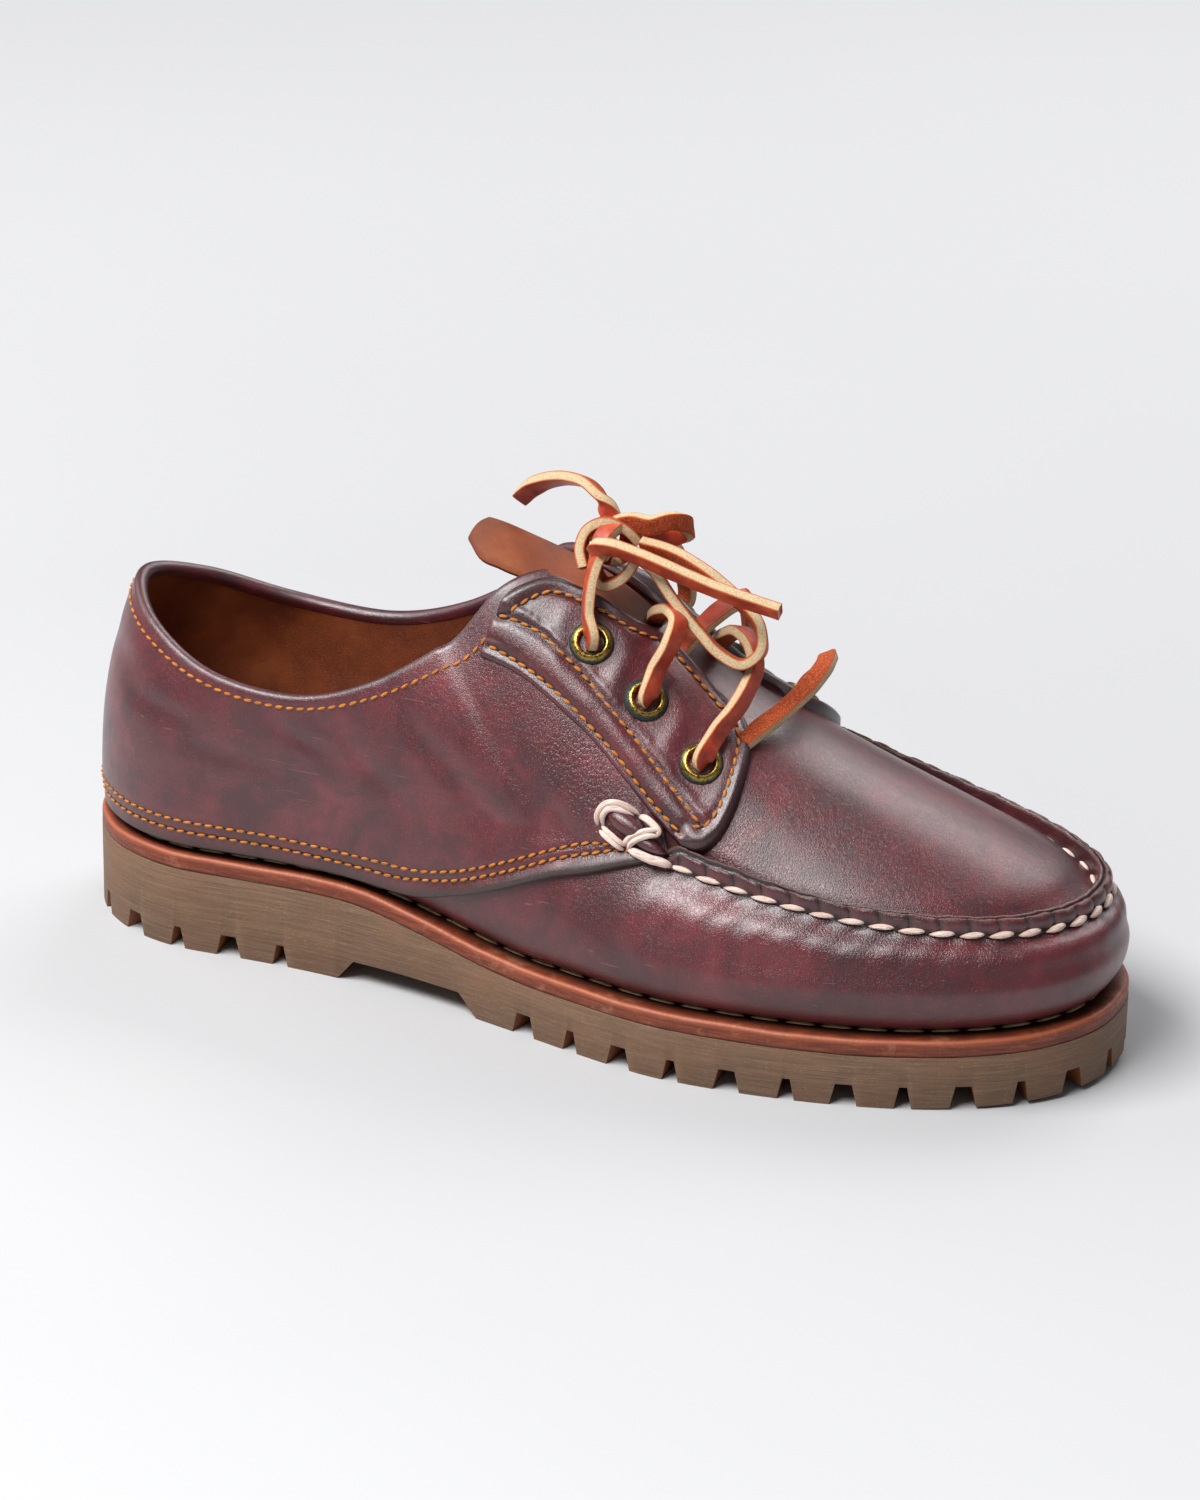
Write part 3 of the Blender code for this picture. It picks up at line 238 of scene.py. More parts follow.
def outward(sign, share):
    """The unit normal of the sole's edge in plan."""
    step = 1e-3
    ahead = sole_edge(sign, np.clip(np.asarray(share) + step, 0, 1))
    behind = sole_edge(sign, np.clip(np.asarray(share) - step, 0, 1))
    along = ahead - behind
    return unit(np.stack([along[..., 1], -along[..., 0]], axis=-1) * sign)


def sole_inset(sign, share, inset):
    share = np.asarray(share)
    ends = (share < 1e-6) | (share > 1 - 1e-6)
    normal = outward(sign, share)
    straight = np.stack([np.where(share < 0.5, 1.0, -1.0), np.zeros_like(normal[..., 0])], axis=-1)
    normal = np.where(ends[..., None], straight, normal)
    return sole_edge(sign, share) - normal * np.asarray(inset)[..., None]


def sole_at(turn, inset=0.0):
    """The sole's edge in plan, drawn in by an inset, at turns round the shoe."""
    outer = sole_inset(-1, np.clip(turn, 0, 1), inset)
    inner = sole_inset(1, np.clip(2 - turn, 0, 1), inset)
    return np.where((np.asarray(turn) <= 1)[..., None], outer, inner)


def ledge_width(share):
    """How far the upper stands in from the sole's edge."""
    return LEDGE_FRONT + (LEDGE_HEEL - LEDGE_FRONT) * rear(share, 0.5, 0.3)


def spring(x):
    past = np.clip(np.asarray(x, float) - SPRING_START, 0, None)
    return TOE_SPRING * (past / (SOLE_LENGTH - SPRING_START)) ** 2


def rubber_top(x):
    wedge = smooth((WEDGE_START - np.asarray(x, float)) / (WEDGE_START - WEDGE_END))
    return RUBBER_FRONT + (RUBBER_HEEL - RUBBER_FRONT) * wedge + spring(x)


def midsole_top(x):
    return rubber_top(x) + GAP + MIDSOLE


def seam_point(sign, share):
    """The line where vamp and plug are sewn, carried on round the heel at half height."""
    side = SEAM_OUTER if sign < 0 else SEAM_INNER
    xy = half_loop(side, share, SEAM_FRONT, SEAM_TIP_Y, SEAM_BACK)
    return np.concatenate([xy, table(SEAM_HEIGHT[sign], xy[..., 0])[..., None]], axis=-1)


FINE = np.linspace(0, 1, 400)
SEAM = {sign: seam_point(sign, FINE) for sign in (-1, 1)}


def seam_half(sign, x):
    """The seam line's Y at X."""
    points = SEAM[sign][::-1]
    return np.interp(x, points[:, 0], points[:, 1])


def arch(x, y):
    """Height of the top of the foot at a plan point: from the seam line up to the ridge, steeper
    towards the instep."""
    x, y = np.asarray(x, float), np.asarray(y, float)
    outer, inner = seam_half(-1, x), seam_half(1, x)
    centre = table(RIDGE_Y, x)
    half = np.maximum(np.where(y < centre, centre - outer, inner - centre), 1e-6)
    low = np.where(y < centre, table(SEAM_HEIGHT[-1], x), table(SEAM_HEIGHT[1], x))
    across = np.clip(np.abs(y - centre) / half, 0, 1)
    power = 1.25 - 0.45 * smooth((230 - x) / 70)
    return low + (table(RIDGE, x) - low) * (1 - across**2.3) ** power


def arch_normal(x, y):
    step = 0.5
    dx = (arch(x + step, y) - arch(x - step, y)) / (2 * step)
    dy = (arch(x, y + step) - arch(x, y - step)) / (2 * step)
    return unit(np.stack([-dx, -dy, np.ones_like(dx)], axis=-1))


def on_arch(x, y, height=0.0):
    x, y = np.asarray(x, float), np.asarray(y, float)
    return np.stack([x, y, arch(x, y)], axis=-1) + arch_normal(x, y) * np.asarray(height)[..., None]


def top_point(sign, share):
    shares = [r.share for r in TOP_EDGE]
    x = through(shares, [r.x for r in TOP_EDGE], share)
    y = through(shares, [r.y_outer if sign < 0 else r.y_inner for r in TOP_EDGE], share)
    free = [r for r in TOP_EDGE if r.z]
    z_free = through([r.share for r in free], [r.z for r in free], share)
    collar = rear(share, 0.46, 0.10)
    z = arch(x, y) * (1 - collar) + z_free * collar
    return np.stack([x, y, z], axis=-1)


def side_wall(sign, share, rise):
    """The vamp and quarter below the seam line. rise 0 is the edge on the midsole, 0.4 the widest
    place and 1 the seam: an ellipse quarter rolled under the foot, then a curve leaning inwards."""
    bulge = 0.8 + 1.2 * rear(share, 0.55, 0.3)
    if sign > 0:
        bulge = bulge - 2.2 * bell((np.asarray(share) - 0.6) / 0.12)
    foot = sole_inset(sign, share, ledge_width(share))
    wide = sole_inset(sign, share, bulge)
    top = seam_point(sign, share)
    turn = np.clip(rise / 0.4, 0, 1) * math.pi / 2
    climb = np.clip((rise - 0.4) / 0.6, 0, 1)
    base = midsole_top(wide[..., 0]) + GAP + 0.1
    foot_xy = foot + (wide - foot) * np.sin(turn)[..., None]
    low_z = base + BULGE_HEIGHT * (1 - np.cos(turn))
    xy = foot_xy + (top[..., :2] - wide) * (climb**1.7)[..., None]
    z = low_z + (top[..., 2] - base - BULGE_HEIGHT) * climb
    return np.concatenate([xy, z[..., None]], axis=-1)


def plan_power(share):
    """How much the rows of the plug crowd towards the seam in plan."""
    return 1 + 0.6 * rear(share, 0.2, 0.2)


def above_seam(sign, share, rise):
    """The plug and quarter above the seam line. rise 0 is the seam and 1 the top edge. In front it
    follows the arch between the two in plan, and at the back it is one curve between them."""
    low, high = seam_point(sign, share), top_point(sign, share)
    behind = rear(share, 0.44, 0.16)
    eased = rise ** plan_power(share)
    plan = low[..., :2] + (high[..., :2] - low[..., :2]) * eased[..., None]
    front = np.concatenate([plan, arch(plan[..., 0], plan[..., 1])[..., None]], axis=-1)
    middle = low + (high - low) * np.array([0.2, 0.2, 0.55])
    keep, pull, end = (1 - rise) ** 2, 2 * rise * (1 - rise), rise**2
    back = low * keep[..., None] + middle * pull[..., None] + high * end[..., None]
    return front * (1 - behind)[..., None] + back * behind[..., None]


def shell(sign, share, level):
    """The upper's smooth outer face. level 0 to 1 is below the seam, 1 to 2 above it."""
    share, level = np.broadcast_arrays(np.asarray(share, float), np.asarray(level, float))
    below = side_wall(sign, share, np.clip(level, 0, 1))
    above = above_seam(sign, share, np.clip(level - 1, 0, 1))
    return np.where((level <= 1)[..., None], below, above)


def around(turn, level):
    """The shell once round: turn 0 to 1 is the outer side from toe to heel, 1 to 2 the inner side back."""
    turn, level = np.broadcast_arrays(np.mod(np.asarray(turn, float), 2.0), np.asarray(level, float))
    outer = shell(-1, np.clip(turn, 0, 1), level)
    inner = shell(1, np.clip(2 - turn, 0, 1), level)
    return np.where((turn <= 1)[..., None], outer, inner)


def shell_normal(turn, level):
    """The shell's unit normal, pointing out of the shoe."""
    turn, level = np.broadcast_arrays(np.asarray(turn, float), np.asarray(level, float))
    low, high = np.clip(level - 0.03, 0, 2), np.clip(level + 0.03, 0, 2)
    along = around(turn + 0.004, level) - around(turn - 0.004, level)
    up = around(turn, high) - around(turn, low)
    return unit(-np.cross(along, up))


def raised(turn, level, height):
    """A point of the shell moved out along the shell's normal by a height."""
    return around(turn, level) + shell_normal(turn, level) * np.asarray(height, float)[..., None]


def place_on_shell(points, turn, level):
    """Turn and level of the shell's points with the given plan positions, by Newton's method."""
    turn, level = np.array(turn, float), np.array(level, float)
    for _ in range(30):
        here = around(turn, level)[..., :2]
        by_turn = (around(turn + 1e-4, level)[..., :2] - here) / 1e-4
        by_level = (around(turn, level + 1e-4)[..., :2] - here) / 1e-4
        miss = points - here
        size = by_turn[..., 0] * by_level[..., 1] - by_turn[..., 1] * by_level[..., 0]
        size = np.where(np.abs(size) < 1e-6, 1e-6, size)
        step_turn = (miss[..., 0] * by_level[..., 1] - miss[..., 1] * by_level[..., 0]) / size
        step_level = (by_turn[..., 0] * miss[..., 1] - by_turn[..., 1] * miss[..., 0]) / size
        turn = turn + np.clip(step_turn, -0.03, 0.03)
        level = np.clip(level + np.clip(step_level, -0.08, 0.08), 1.02, 1.999)
    return turn, level


def on_shell(points):
    """Turn and level of plan points above the seam line."""
    points = np.asarray(points, float)
    turn, level = np.meshgrid(np.linspace(0, 2, 161)[:-1], np.linspace(1.03, 1.99, 49), indexing="ij")
    spots = around(turn, level)[..., :2].reshape(-1, 2)
    nearest = np.array([np.argmin(((spots - p) ** 2).sum(axis=1)) for p in points.reshape(-1, 2)])
    first = [values.ravel()[nearest].reshape(points.shape[:-1]) for values in (turn, level)]
    return place_on_shell(points, *first)


# Lengths round and up the shell, for patterns and folds in real sizes
ROUND = np.linspace(0, 2, 1601)
ROUND_LENGTH = distance_along(around(ROUND, 1.0))


def length_round(turn):
    """Millimetres along the seam line from the toe tip, counted down the outer side."""
    return np.interp(np.mod(turn, 2), ROUND, ROUND_LENGTH)


def turn_at(length):
    return np.interp(np.mod(length, ROUND_LENGTH[-1]), ROUND_LENGTH, ROUND)


def wall_height(share):
    """Rough height of the shell below the seam line in millimetres."""
    return 34 + 12 * rear(share, 0.3, 0.3)


def height_up(turn, level):
    """Roughly how far in millimetres a level lies above the seam line, minus below it."""
    share = share_at(np.mod(turn, 2))
    above = 62 - 22 * rear(share, 0.3, 0.25)
    return np.where(level < 1, (level - 1) * wall_height(share), (level - 1) * above)


def lip_size(turn):
    """Size of the raised seam: 1 round the toe, falling to 0 at the apron's ends."""
    point = around(turn, 1.0)
    start = np.where(np.mod(turn, 2) <= 1, LIP_OUTER_START, LIP_INNER_START)
    return smooth((point[..., 0] - start) / LIP_FADE)


def seam_phase(turn):
    """Stitch number along the apron seam, counted from the toe tip, minus on the inner side."""
    length = length_round(turn)
    length = np.where(length > ROUND_LENGTH[-1] / 2, length - ROUND_LENGTH[-1], length)
    return length / SEAM_PITCH


# Materials
def colour(code):
    parts = [int(code[i:i + 2], 16) / 255 for i in (1, 3, 5)]
    return (*(((c + 0.055) / 1.055) ** 2.4 if c > 0.04045 else c / 12.92 for c in parts), 1.0)


def feed(tree, node, values):
    """Links each value to the input of its name or number, or sets it there."""
    for key, value in values.items():
        if isinstance(value, bpy.types.NodeSocket):
            tree.links.new(value, node.inputs[key])
        else:
            node.inputs[key].default_value = value


def add(tree, kind, values=None, **settings):
    """A new shader node with its settings, and its inputs fed."""
    made = tree.nodes.new("ShaderNode" + kind)
    for key, value in settings.items():
        setattr(made, key, value)
    feed(tree, made, values or {})
    return made


def maths(tree, operation, first, second=0.0, clamp=False):
    return add(tree, "Math", {0: first, 1: second}, operation=operation, use_clamp=clamp).outputs[0]


def plus(tree, first, second, clamp=False):
    return maths(tree, "ADD", first, second, clamp)


def times(tree, first, second):
    return maths(tree, "MULTIPLY", first, second)


def mix(tree, share, first, second):
    return add(tree, "Mix", {0: share, 6: first, 7: second}, data_type="RGBA").outputs[2]


def tint(tree, share, base, code):
    """A base colour with a share of another laid over it."""
    return mix(tree, share, base, colour(code))


def noise(tree, at, scale, detail=3.0, roughness=0.55, distortion=0.0):
    values = {"Vector": at, "Scale": scale, "Detail": detail, "Roughness": roughness,
              "Distortion": distortion}
    return add(tree, "TexNoise", values).outputs[0]


def cells(tree, at, scale):
    """Distance from the borders of random cells."""
    values = {"Vector": at, "Scale": scale}
    return add(tree, "TexVoronoi", values, feature="DISTANCE_TO_EDGE").outputs[0]


def ramp(tree, value, stops):
    """A colour ramp with (place, colour code) stops."""
    made = add(tree, "ValToRGB", {0: value})
    for i, (place, code) in enumerate(stops):
        stop = made.color_ramp.elements[i] if i < 2 else made.color_ramp.elements.new(place)
        stop.position = place
        stop.color = colour(code)
    return made.outputs[0]


def stretch(tree, value, low, high, to_low=0.0, to_high=1.0):
    """A value brought from one range to another, held at its ends."""
    values = {"Value": value, "From Min": low, "From Max": high, "To Min": to_low, "To Max": to_high}
    return add(tree, "MapRange", values, clamp=True).outputs[0]


def attribute(tree, name, output="Fac"):
    return add(tree, "Attribute", attribute_name=name).outputs[output]


def start(name):
    """A new material: its tree, its shader and object positions in millimetres."""
    made = bpy.data.materials.new(name)
    made.use_nodes = True
    tree = made.node_tree
    shader = tree.nodes["Principled BSDF"]
    place = add(tree, "TexCoord").outputs["Object"]
    place = add(tree, "VectorMath", {0: place, "Scale": 1000.0}, operation="SCALE").outputs[0]
    return made, tree, shader, place


def scaled(tree, at, x, y, z):
    return add(tree, "VectorMath", {0: at, 1: (x, y, z)}, operation="MULTIPLY").outputs[0]


def finish_material(tree, shader, base, rough, height, depth, others=None):
    """Feeds the shader with colour, roughness, a bump of a depth in millimetres and other inputs."""
    bump = add(tree, "Bump", {"Height": height, "Distance": depth * MM, "Strength": 1.0}).outputs[0]
    feed(tree, shader, {"Base Color": base, "Roughness": rough, "Normal": bump, **(others or {})})


def burgundy_leather():
    """Pull-up leather: clouds of dark and light burgundy, pebble grain, and deeper wrinkles where the
    attribute wrinkle is high. The attribute dark darkens burnished edges and paints shade into furrows,
    creases and gaps, raw shows the leather's napped brown cut, and a light reddish tint paints sheen and
    reflections."""
    made, tree, shader, at = start("burgundy_leather")
    cloud = noise(tree, at, 0.04, 6, 0.62, 0.8)
    patch = noise(tree, at, 0.16, 5, 0.65, 0.4)
    pore = noise(tree, at, 2.4, 3, 0.65)
    bent = add(tree, "VectorMath", {0: at, 1: add(tree, "TexNoise", {"Vector": at, "Scale": 0.8}).outputs[1]},
               operation="ADD").outputs[0]
    pebble = stretch(tree, cells(tree, bent, 2.3), 0.0, 0.30)
    crease = stretch(tree, cells(tree, scaled(tree, bent, 1.2, 1.0, 0.6), 0.95), 0.0, 0.22)
    base = ramp(tree, cloud, [(0.30, "#3b0c14"), (0.45, "#501219"), (0.57, "#631b23"), (0.74, "#7a2b32")])
    base = tint(tree, stretch(tree, patch, 0.44, 0.70, 0.0, 0.5), base, "#33101a")
    calm = stretch(tree, patch, 0.62, 0.40, 0.0, 0.65)
    fleck = times(tree, stretch(tree, pore, 0.55, 0.72), calm)
    base = tint(tree, fleck, base, "#93444a")
    # Painted sheen and reflection: a light reddish tint where this attribute is high
    base = tint(tree, attribute(tree, "rub"), base, "#7d3b3e")
    # Painted shade in furrows, creases and gaps, and dark burnished edges
    base = tint(tree, attribute(tree, "dark"), base, "#1c0e11")
    base = tint(tree, stretch(tree, pebble, 1.0, 0.0, 0.0, 0.35), base, "#22090d")
    scratch = noise(tree, scaled(tree, at, 0.05, 0.9, 1.6), 0.8, 2, 0.5, 0.2)
    base = tint(tree, stretch(tree, scratch, 0.70, 0.74, 0.0, 0.3), base, "#9a6462")
    nap = noise(tree, at, 3.2, 3, 0.7)
    fuzz = ramp(tree, nap, [(0.35, "#20120b"), (0.52, "#54331d"), (0.68, "#8a6240")])
    raw = attribute(tree, "raw")
    base = mix(tree, raw, base, fuzz)
    deep = times(tree, crease, attribute(tree, "wrinkle"))
    height = plus(tree, times(tree, pebble, 0.22), times(tree, pore, 0.30))
    height = plus(tree, height, times(tree, deep, 0.65))
    height = plus(tree, height, times(tree, times(tree, nap, raw), 3.0))
    rough = stretch(tree, patch, 0.3, 0.7, 0.31, 0.40)
    rough = plus(tree, rough, times(tree, raw, 0.5), True)
    gloss = {"Specular IOR Level": 0.8, "Coat Weight": 0.28, "Coat Roughness": 0.28}
    finish_material(tree, shader, base, rough, height, 0.13, gloss)
    return made


def thread(name, dark, light, twist, depth):
    """Sewing thread: fibres run along each stitch by its own place, and the attribute dark paints shade at
    its ends.
    """
    made, tree, shader, _ = start(name)
    own = attribute(tree, "place", "Vector")
    fibre = noise(tree, scaled(tree, own, 0.35, twist, 1.0), 1.0, 3, 0.6, 0.3)
    base = ramp(tree, fibre, [(0.32, dark), (0.6, light)])
    # Painted shade where the thread goes into the leather
    base = tint(tree, attribute(tree, "dark"), base, "#5a2c14")
    finish_material(tree, shader, base, 0.75, fibre, depth)
    return made


def midsole_leather():
    made, tree, shader, at = start("midsole_leather")
    streak = noise(tree, scaled(tree, at, 0.12, 0.12, 1.6), 1.0, 4, 0.65)
    fleck = noise(tree, at, 1.1, 3, 0.65)
    base = ramp(tree, streak, [(0.30, "#521e0f"), (0.50, "#733119"), (0.70, "#8f4726")])
    base = tint(tree, stretch(tree, fleck, 0.52, 0.72, 0.0, 0.7), base, "#5a241c")
    base = tint(tree, stretch(tree, noise(tree, at, 0.09, 4, 0.7), 0.58, 0.75, 0.0, 0.5), base, "#c08a66")
    # Painted highlight along the rounded top edge, in a pale tint
    base = tint(tree, attribute(tree, "rub"), base, "#b4613f")
    # Painted shade on the ledge under the upper, and a darker line along the lower edge by the rubber
    base = tint(tree, attribute(tree, "dark"), base, "#3a170e")
    height = plus(tree, streak, times(tree, fleck, 0.6))
    finish_material(tree, shader, base, stretch(tree, fleck, 0.3, 0.7, 0.42, 0.6), height, 0.12)
    return made


def gum_rubber():
    """Buffed gum rubber: fine level streaks and pale flecks, and a warmer brown in the notches."""
    made, tree, shader, at = start("gum_rubber")
    streak = noise(tree, scaled(tree, at, 0.07, 0.07, 2.6), 1.0, 4, 0.7)
    fleck = noise(tree, scaled(tree, at, 0.9, 0.9, 3.0), 1.4, 3, 0.7)
    cloud = noise(tree, at, 0.06, 4, 0.6)
    base = ramp(tree, streak, [(0.28, "#573f2f"), (0.50, "#6f543f"), (0.70, "#876953")])
    base = tint(tree, stretch(tree, cloud, 0.4, 0.7, 0.0, 0.5), base, "#7c5840")
    base = tint(tree, stretch(tree, fleck, 0.60, 0.74, 0.0, 0.6), base, "#b8a48e")
    base = tint(tree, attribute(tree, "inside"), base, "#7a4420")
    height = plus(tree, streak, fleck)
    finish_material(tree, shader, base, stretch(tree, cloud, 0.3, 0.7, 0.55, 0.7), height, 0.10)
    return made


def aged_brass():
    """Brass rubbed bright at its crown, with dark green tarnish where the attribute tarnish is high."""
    made, tree, shader, at = start("aged_brass")
    spot = noise(tree, at, 1.1, 4, 0.7)
    tone = ramp(tree, spot, [(0.34, "#4a3a1c"), (0.50, "#a5873f"), (0.66, "#d8c27a")])
    amount = plus(tree, attribute(tree, "tarnish"), times(tree, maths(tree, "SUBTRACT", spot, 0.5), 1.3))
    amount = stretch(tree, amount, 0.42, 0.60)
    base = tint(tree, amount, tone, "#1d2b24")
    rough = stretch(tree, amount, 0.0, 1.0, 0.28, 0.6)
    metal = stretch(tree, amount, 0.0, 1.0, 1.0, 0.25)
    finish_material(tree, shader, base, rough, spot, 0.12, {"Metallic": metal})
    return made


def rawhide():
    """Lace cut from oiled hide: grain on one wide face, nap on the other and pale cut sides."""
    made, tree, shader, at = start("rawhide_lace")
    own = attribute(tree, "place", "Vector")
    parts = add(tree, "SeparateXYZ", {0: own})
    wide, flat = parts.outputs[1], parts.outputs[2]
    cloud = noise(tree, at, 0.16, 4, 0.6)
    nap = noise(tree, at, 2.2, 4, 0.75)
    fibre = noise(tree, scaled(tree, own, 0.5, 3.0, 3.0), 1.0, 3, 0.6)
    grain = ramp(tree, cloud, [(0.30, "#7c2413"), (0.52, "#a93a1f"), (0.72, "#c45a38")])
    suede = ramp(tree, nap, [(0.30, "#561a08"), (0.50, "#a03c12"), (0.70, "#d8743a")])
    cut = ramp(tree, nap, [(0.26, "#8e6c46"), (0.46, "#c8ab82"), (0.70, "#e2d0ae")])
    back = stretch(tree, flat, -0.35, 0.15, 1.0, 0.0)
    base = mix(tree, back, grain, suede)
    edge = plus(tree, maths(tree, "ABSOLUTE", wide), times(tree, maths(tree, "SUBTRACT", nap, 0.5), 0.16))
    side = stretch(tree, edge, 0.86, 0.93)
    border = plus(tree, maths(tree, "ABSOLUTE", flat), times(tree, maths(tree, "SUBTRACT", nap, 0.5), 0.9))
    cut = tint(tree, stretch(tree, border, 0.62, 0.86), cut, "#b8501e")
    base = mix(tree, side, base, cut)
    # Painted shade where a lace comes out of its eyelet
    base = tint(tree, attribute(tree, "dark"), base, "#4a2413")
    rough = maths(tree, "MAXIMUM", stretch(tree, back, 0.0, 1.0, 0.42, 0.95), times(tree, side, 0.85))
    fuzzy = maths(tree, "MAXIMUM", back, side)
    height = times(tree, nap, plus(tree, times(tree, fuzzy, 0.85), 0.15))
    height = plus(tree, height, times(tree, fibre, 0.12))
    finish_material(tree, shader, base, rough, height, 0.35)
    return made


def lining_leather():
    made, tree, shader, at = start("lining_leather")
    cloud = noise(tree, at, 0.05, 5, 0.6)
    nap = noise(tree, at, 1.9, 4, 0.7)
    base = ramp(tree, cloud, [(0.30, "#5a240c"), (0.52, "#783613"), (0.74, "#914a20")])
    base = tint(tree, stretch(tree, nap, 0.5, 0.75, 0.0, 0.45), base, "#a35a2a")
    # Painted shade deep inside the shoe, on the tongue's front under the laces and at the footbed's edges
    base = tint(tree, attribute(tree, "dark"), base, "#1f0e07")
    finish_material(tree, shader, base, stretch(tree, nap, 0.3, 0.7, 0.6, 0.8), nap, 0.12)
    return made


# Near-black discs that paint the shade inside stitch holes and eyelets
def hole_shade_material():
    made, tree, shader, at = start("hole_shade")
    spot = noise(tree, at, 1.2, 3, 0.6)
    base = ramp(tree, spot, [(0.35, "#0c0606"), (0.7, "#2a1410")])
    finish_material(tree, shader, base, 0.9, spot, 0.05)
    return made


SKIN = {
    "burgundy": burgundy_leather(),
    "cream": thread("cream_thread", "#b08c7c", "#ecd6ca", 5.0, 0.2),
    "mustard": thread("mustard_thread", "#84460f", "#c87a26", 4.0, 0.12),
    "tan": thread("welt_thread", "#8d7350", "#c4ab84", 4.0, 0.12),
    "midsole": midsole_leather(),
    "rubber": gum_rubber(),
    "brass": aged_brass(),
    "lace": rawhide(),
    "lining": lining_leather(),
    "shade_disc": hole_shade_material(),
}


# Meshes
def quads(rows, columns, close_rows=False, close_columns=False):
    """Quads of a grid of points, closed either way or open."""
    r, c = np.meshgrid(np.arange(rows - (not close_rows)), np.arange(columns - (not close_columns)),
                       indexing="ij")
    after, beyond = (c + 1) % columns, (r + 1) % rows
    corners = [r * columns + c, r * columns + after, beyond * columns + after, beyond * columns + c]
    return np.stack(corners, -1).reshape(-1, 4)


def new_mesh(name, points, faces):
    """A mesh in metres from points in millimetres."""
    mesh = bpy.data.meshes.new(name)
    places = (np.asarray(points, float).reshape(-1, 3) - HEEL_SHIFT) * MM
    mesh.from_pydata(places.tolist(), [], [list(map(int, f)) for f in faces])
    return mesh


def turn_outwards(mesh, weld=0.0):
    """Makes all faces look out of the mesh, after welding points closer than a distance in metres."""
    work = bmesh.new()
    work.from_mesh(mesh)
    if weld:
        bmesh.ops.remove_doubles(work, verts=work.verts, dist=weld)
    bmesh.ops.recalc_face_normals(work, faces=work.faces)
    work.to_mesh(mesh)
    work.free()


def new_object(name, data):
    made = bpy.data.objects.new(name, data)
    bpy.context.scene.collection.objects.link(made)
    return made


def piece(name, points, faces, skin, nodes=(), paint=None, outwards=False):
    """A mesh object from points in millimetres, with float or vector values painted on its points."""
    mesh = new_mesh(name, points, faces)
    for key, values in (paint or {}).items():
        values = np.asarray(values, float)
        vector = values.ndim > 1 and values.shape[-1] == 3
        layer = mesh.attributes.new(key, "FLOAT_VECTOR" if vector else "FLOAT", "POINT")
        layer.data.foreach_set("vector" if vector else "value", values.ravel())
    if outwards:
        turn_outwards(mesh)
    mesh.materials.append(SKIN[skin])
    mesh.polygons.foreach_set("use_smooth", [True] * len(mesh.polygons))
    made = new_object(name, mesh)
    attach(made, "root")
    if nodes:
        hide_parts(*nodes)
    return made


def sheet(name, grid, skin, nodes=(), paint=None, close_rows=False, close_columns=False, flip=False):
    """A grid of points, rows by columns, as a surface, with one painted value a point."""
    faces = quads(*grid.shape[:2], close_rows, close_columns)
    flat = {key: np.broadcast_to(values, grid.shape[:2]).ravel() for key, values in (paint or {}).items()}
    piece(name, grid, faces[:, ::-1] if flip else faces, skin, nodes, flat)


def evenly(path, step):
    """A path's points again at even steps."""
    along = distance_along(path)
    at = np.linspace(0, along[-1], max(2, int(round(along[-1] / step)) + 1))
    return np.stack([np.interp(at, along, column) for column in path.T], axis=1)


def tube_ends(count, sides):
    """Faces that close a tube of points at both ends."""
    return [list(range(sides))[::-1], [(count - 1) * sides + k for k in range(sides)]]


def stacked(*values):
    """Values of different shapes side by side, as rows of numbers."""
    return np.stack(np.broadcast_arrays(*values), axis=-1).reshape(-1, len(values))


# Camera
CAMERA_TARGET = np.array([242.7, 32.7, 60.0])
CAMERA_DISTANCE, CAMERA_ELEVATION, CAMERA_AZIMUTH = 1391.0, math.radians(24.1), math.radians(17.4)
CAMERA_ROLL = math.radians(1.19)
CAMERA_AIM = np.array([146.0, 8.0, 62.0])
CAMERA_LENS = 122.0


def make_camera():
    """The photograph's place, height and roll, turned to the middle of the shoe."""
    back = np.array([
        math.sin(CAMERA_AZIMUTH) * math.cos(CAMERA_ELEVATION),
        -math.cos(CAMERA_AZIMUTH) * math.cos(CAMERA_ELEVATION),
        math.sin(CAMERA_ELEVATION),
    ])
    place = CAMERA_TARGET + back * CAMERA_DISTANCE
    back = unit(place - CAMERA_AIM)
    right = unit(np.cross([0.0, 0.0, 1.0], back))
    up = np.cross(back, right)
    turned_right = right * math.cos(CAMERA_ROLL) + up * math.sin(CAMERA_ROLL)
    turned_up = -right * math.sin(CAMERA_ROLL) + up * math.cos(CAMERA_ROLL)
    data = bpy.data.cameras.new("camera")
    data.sensor_fit = "VERTICAL"
    data.sensor_height = 36.0
    data.lens = CAMERA_LENS
    data.clip_start, data.clip_end = 0.05, 50.0
    made = new_object("camera", data)
    turn = Matrix(np.stack([turned_right, turned_up, back], axis=1).tolist()).to_4x4()
    at = (place - HEEL_SHIFT) * MM
    made.matrix_world = Matrix.Translation(Vector(at)) @ turn
    bpy.context.scene.camera = made


make_camera()

# Lace
LACE_WIDTH, LACE_THICK = 4.9, 2.9
KNOT = np.array([152.0, 1.0, 128.0])
LACE_STEP = 0.8
CORNER = 0.32


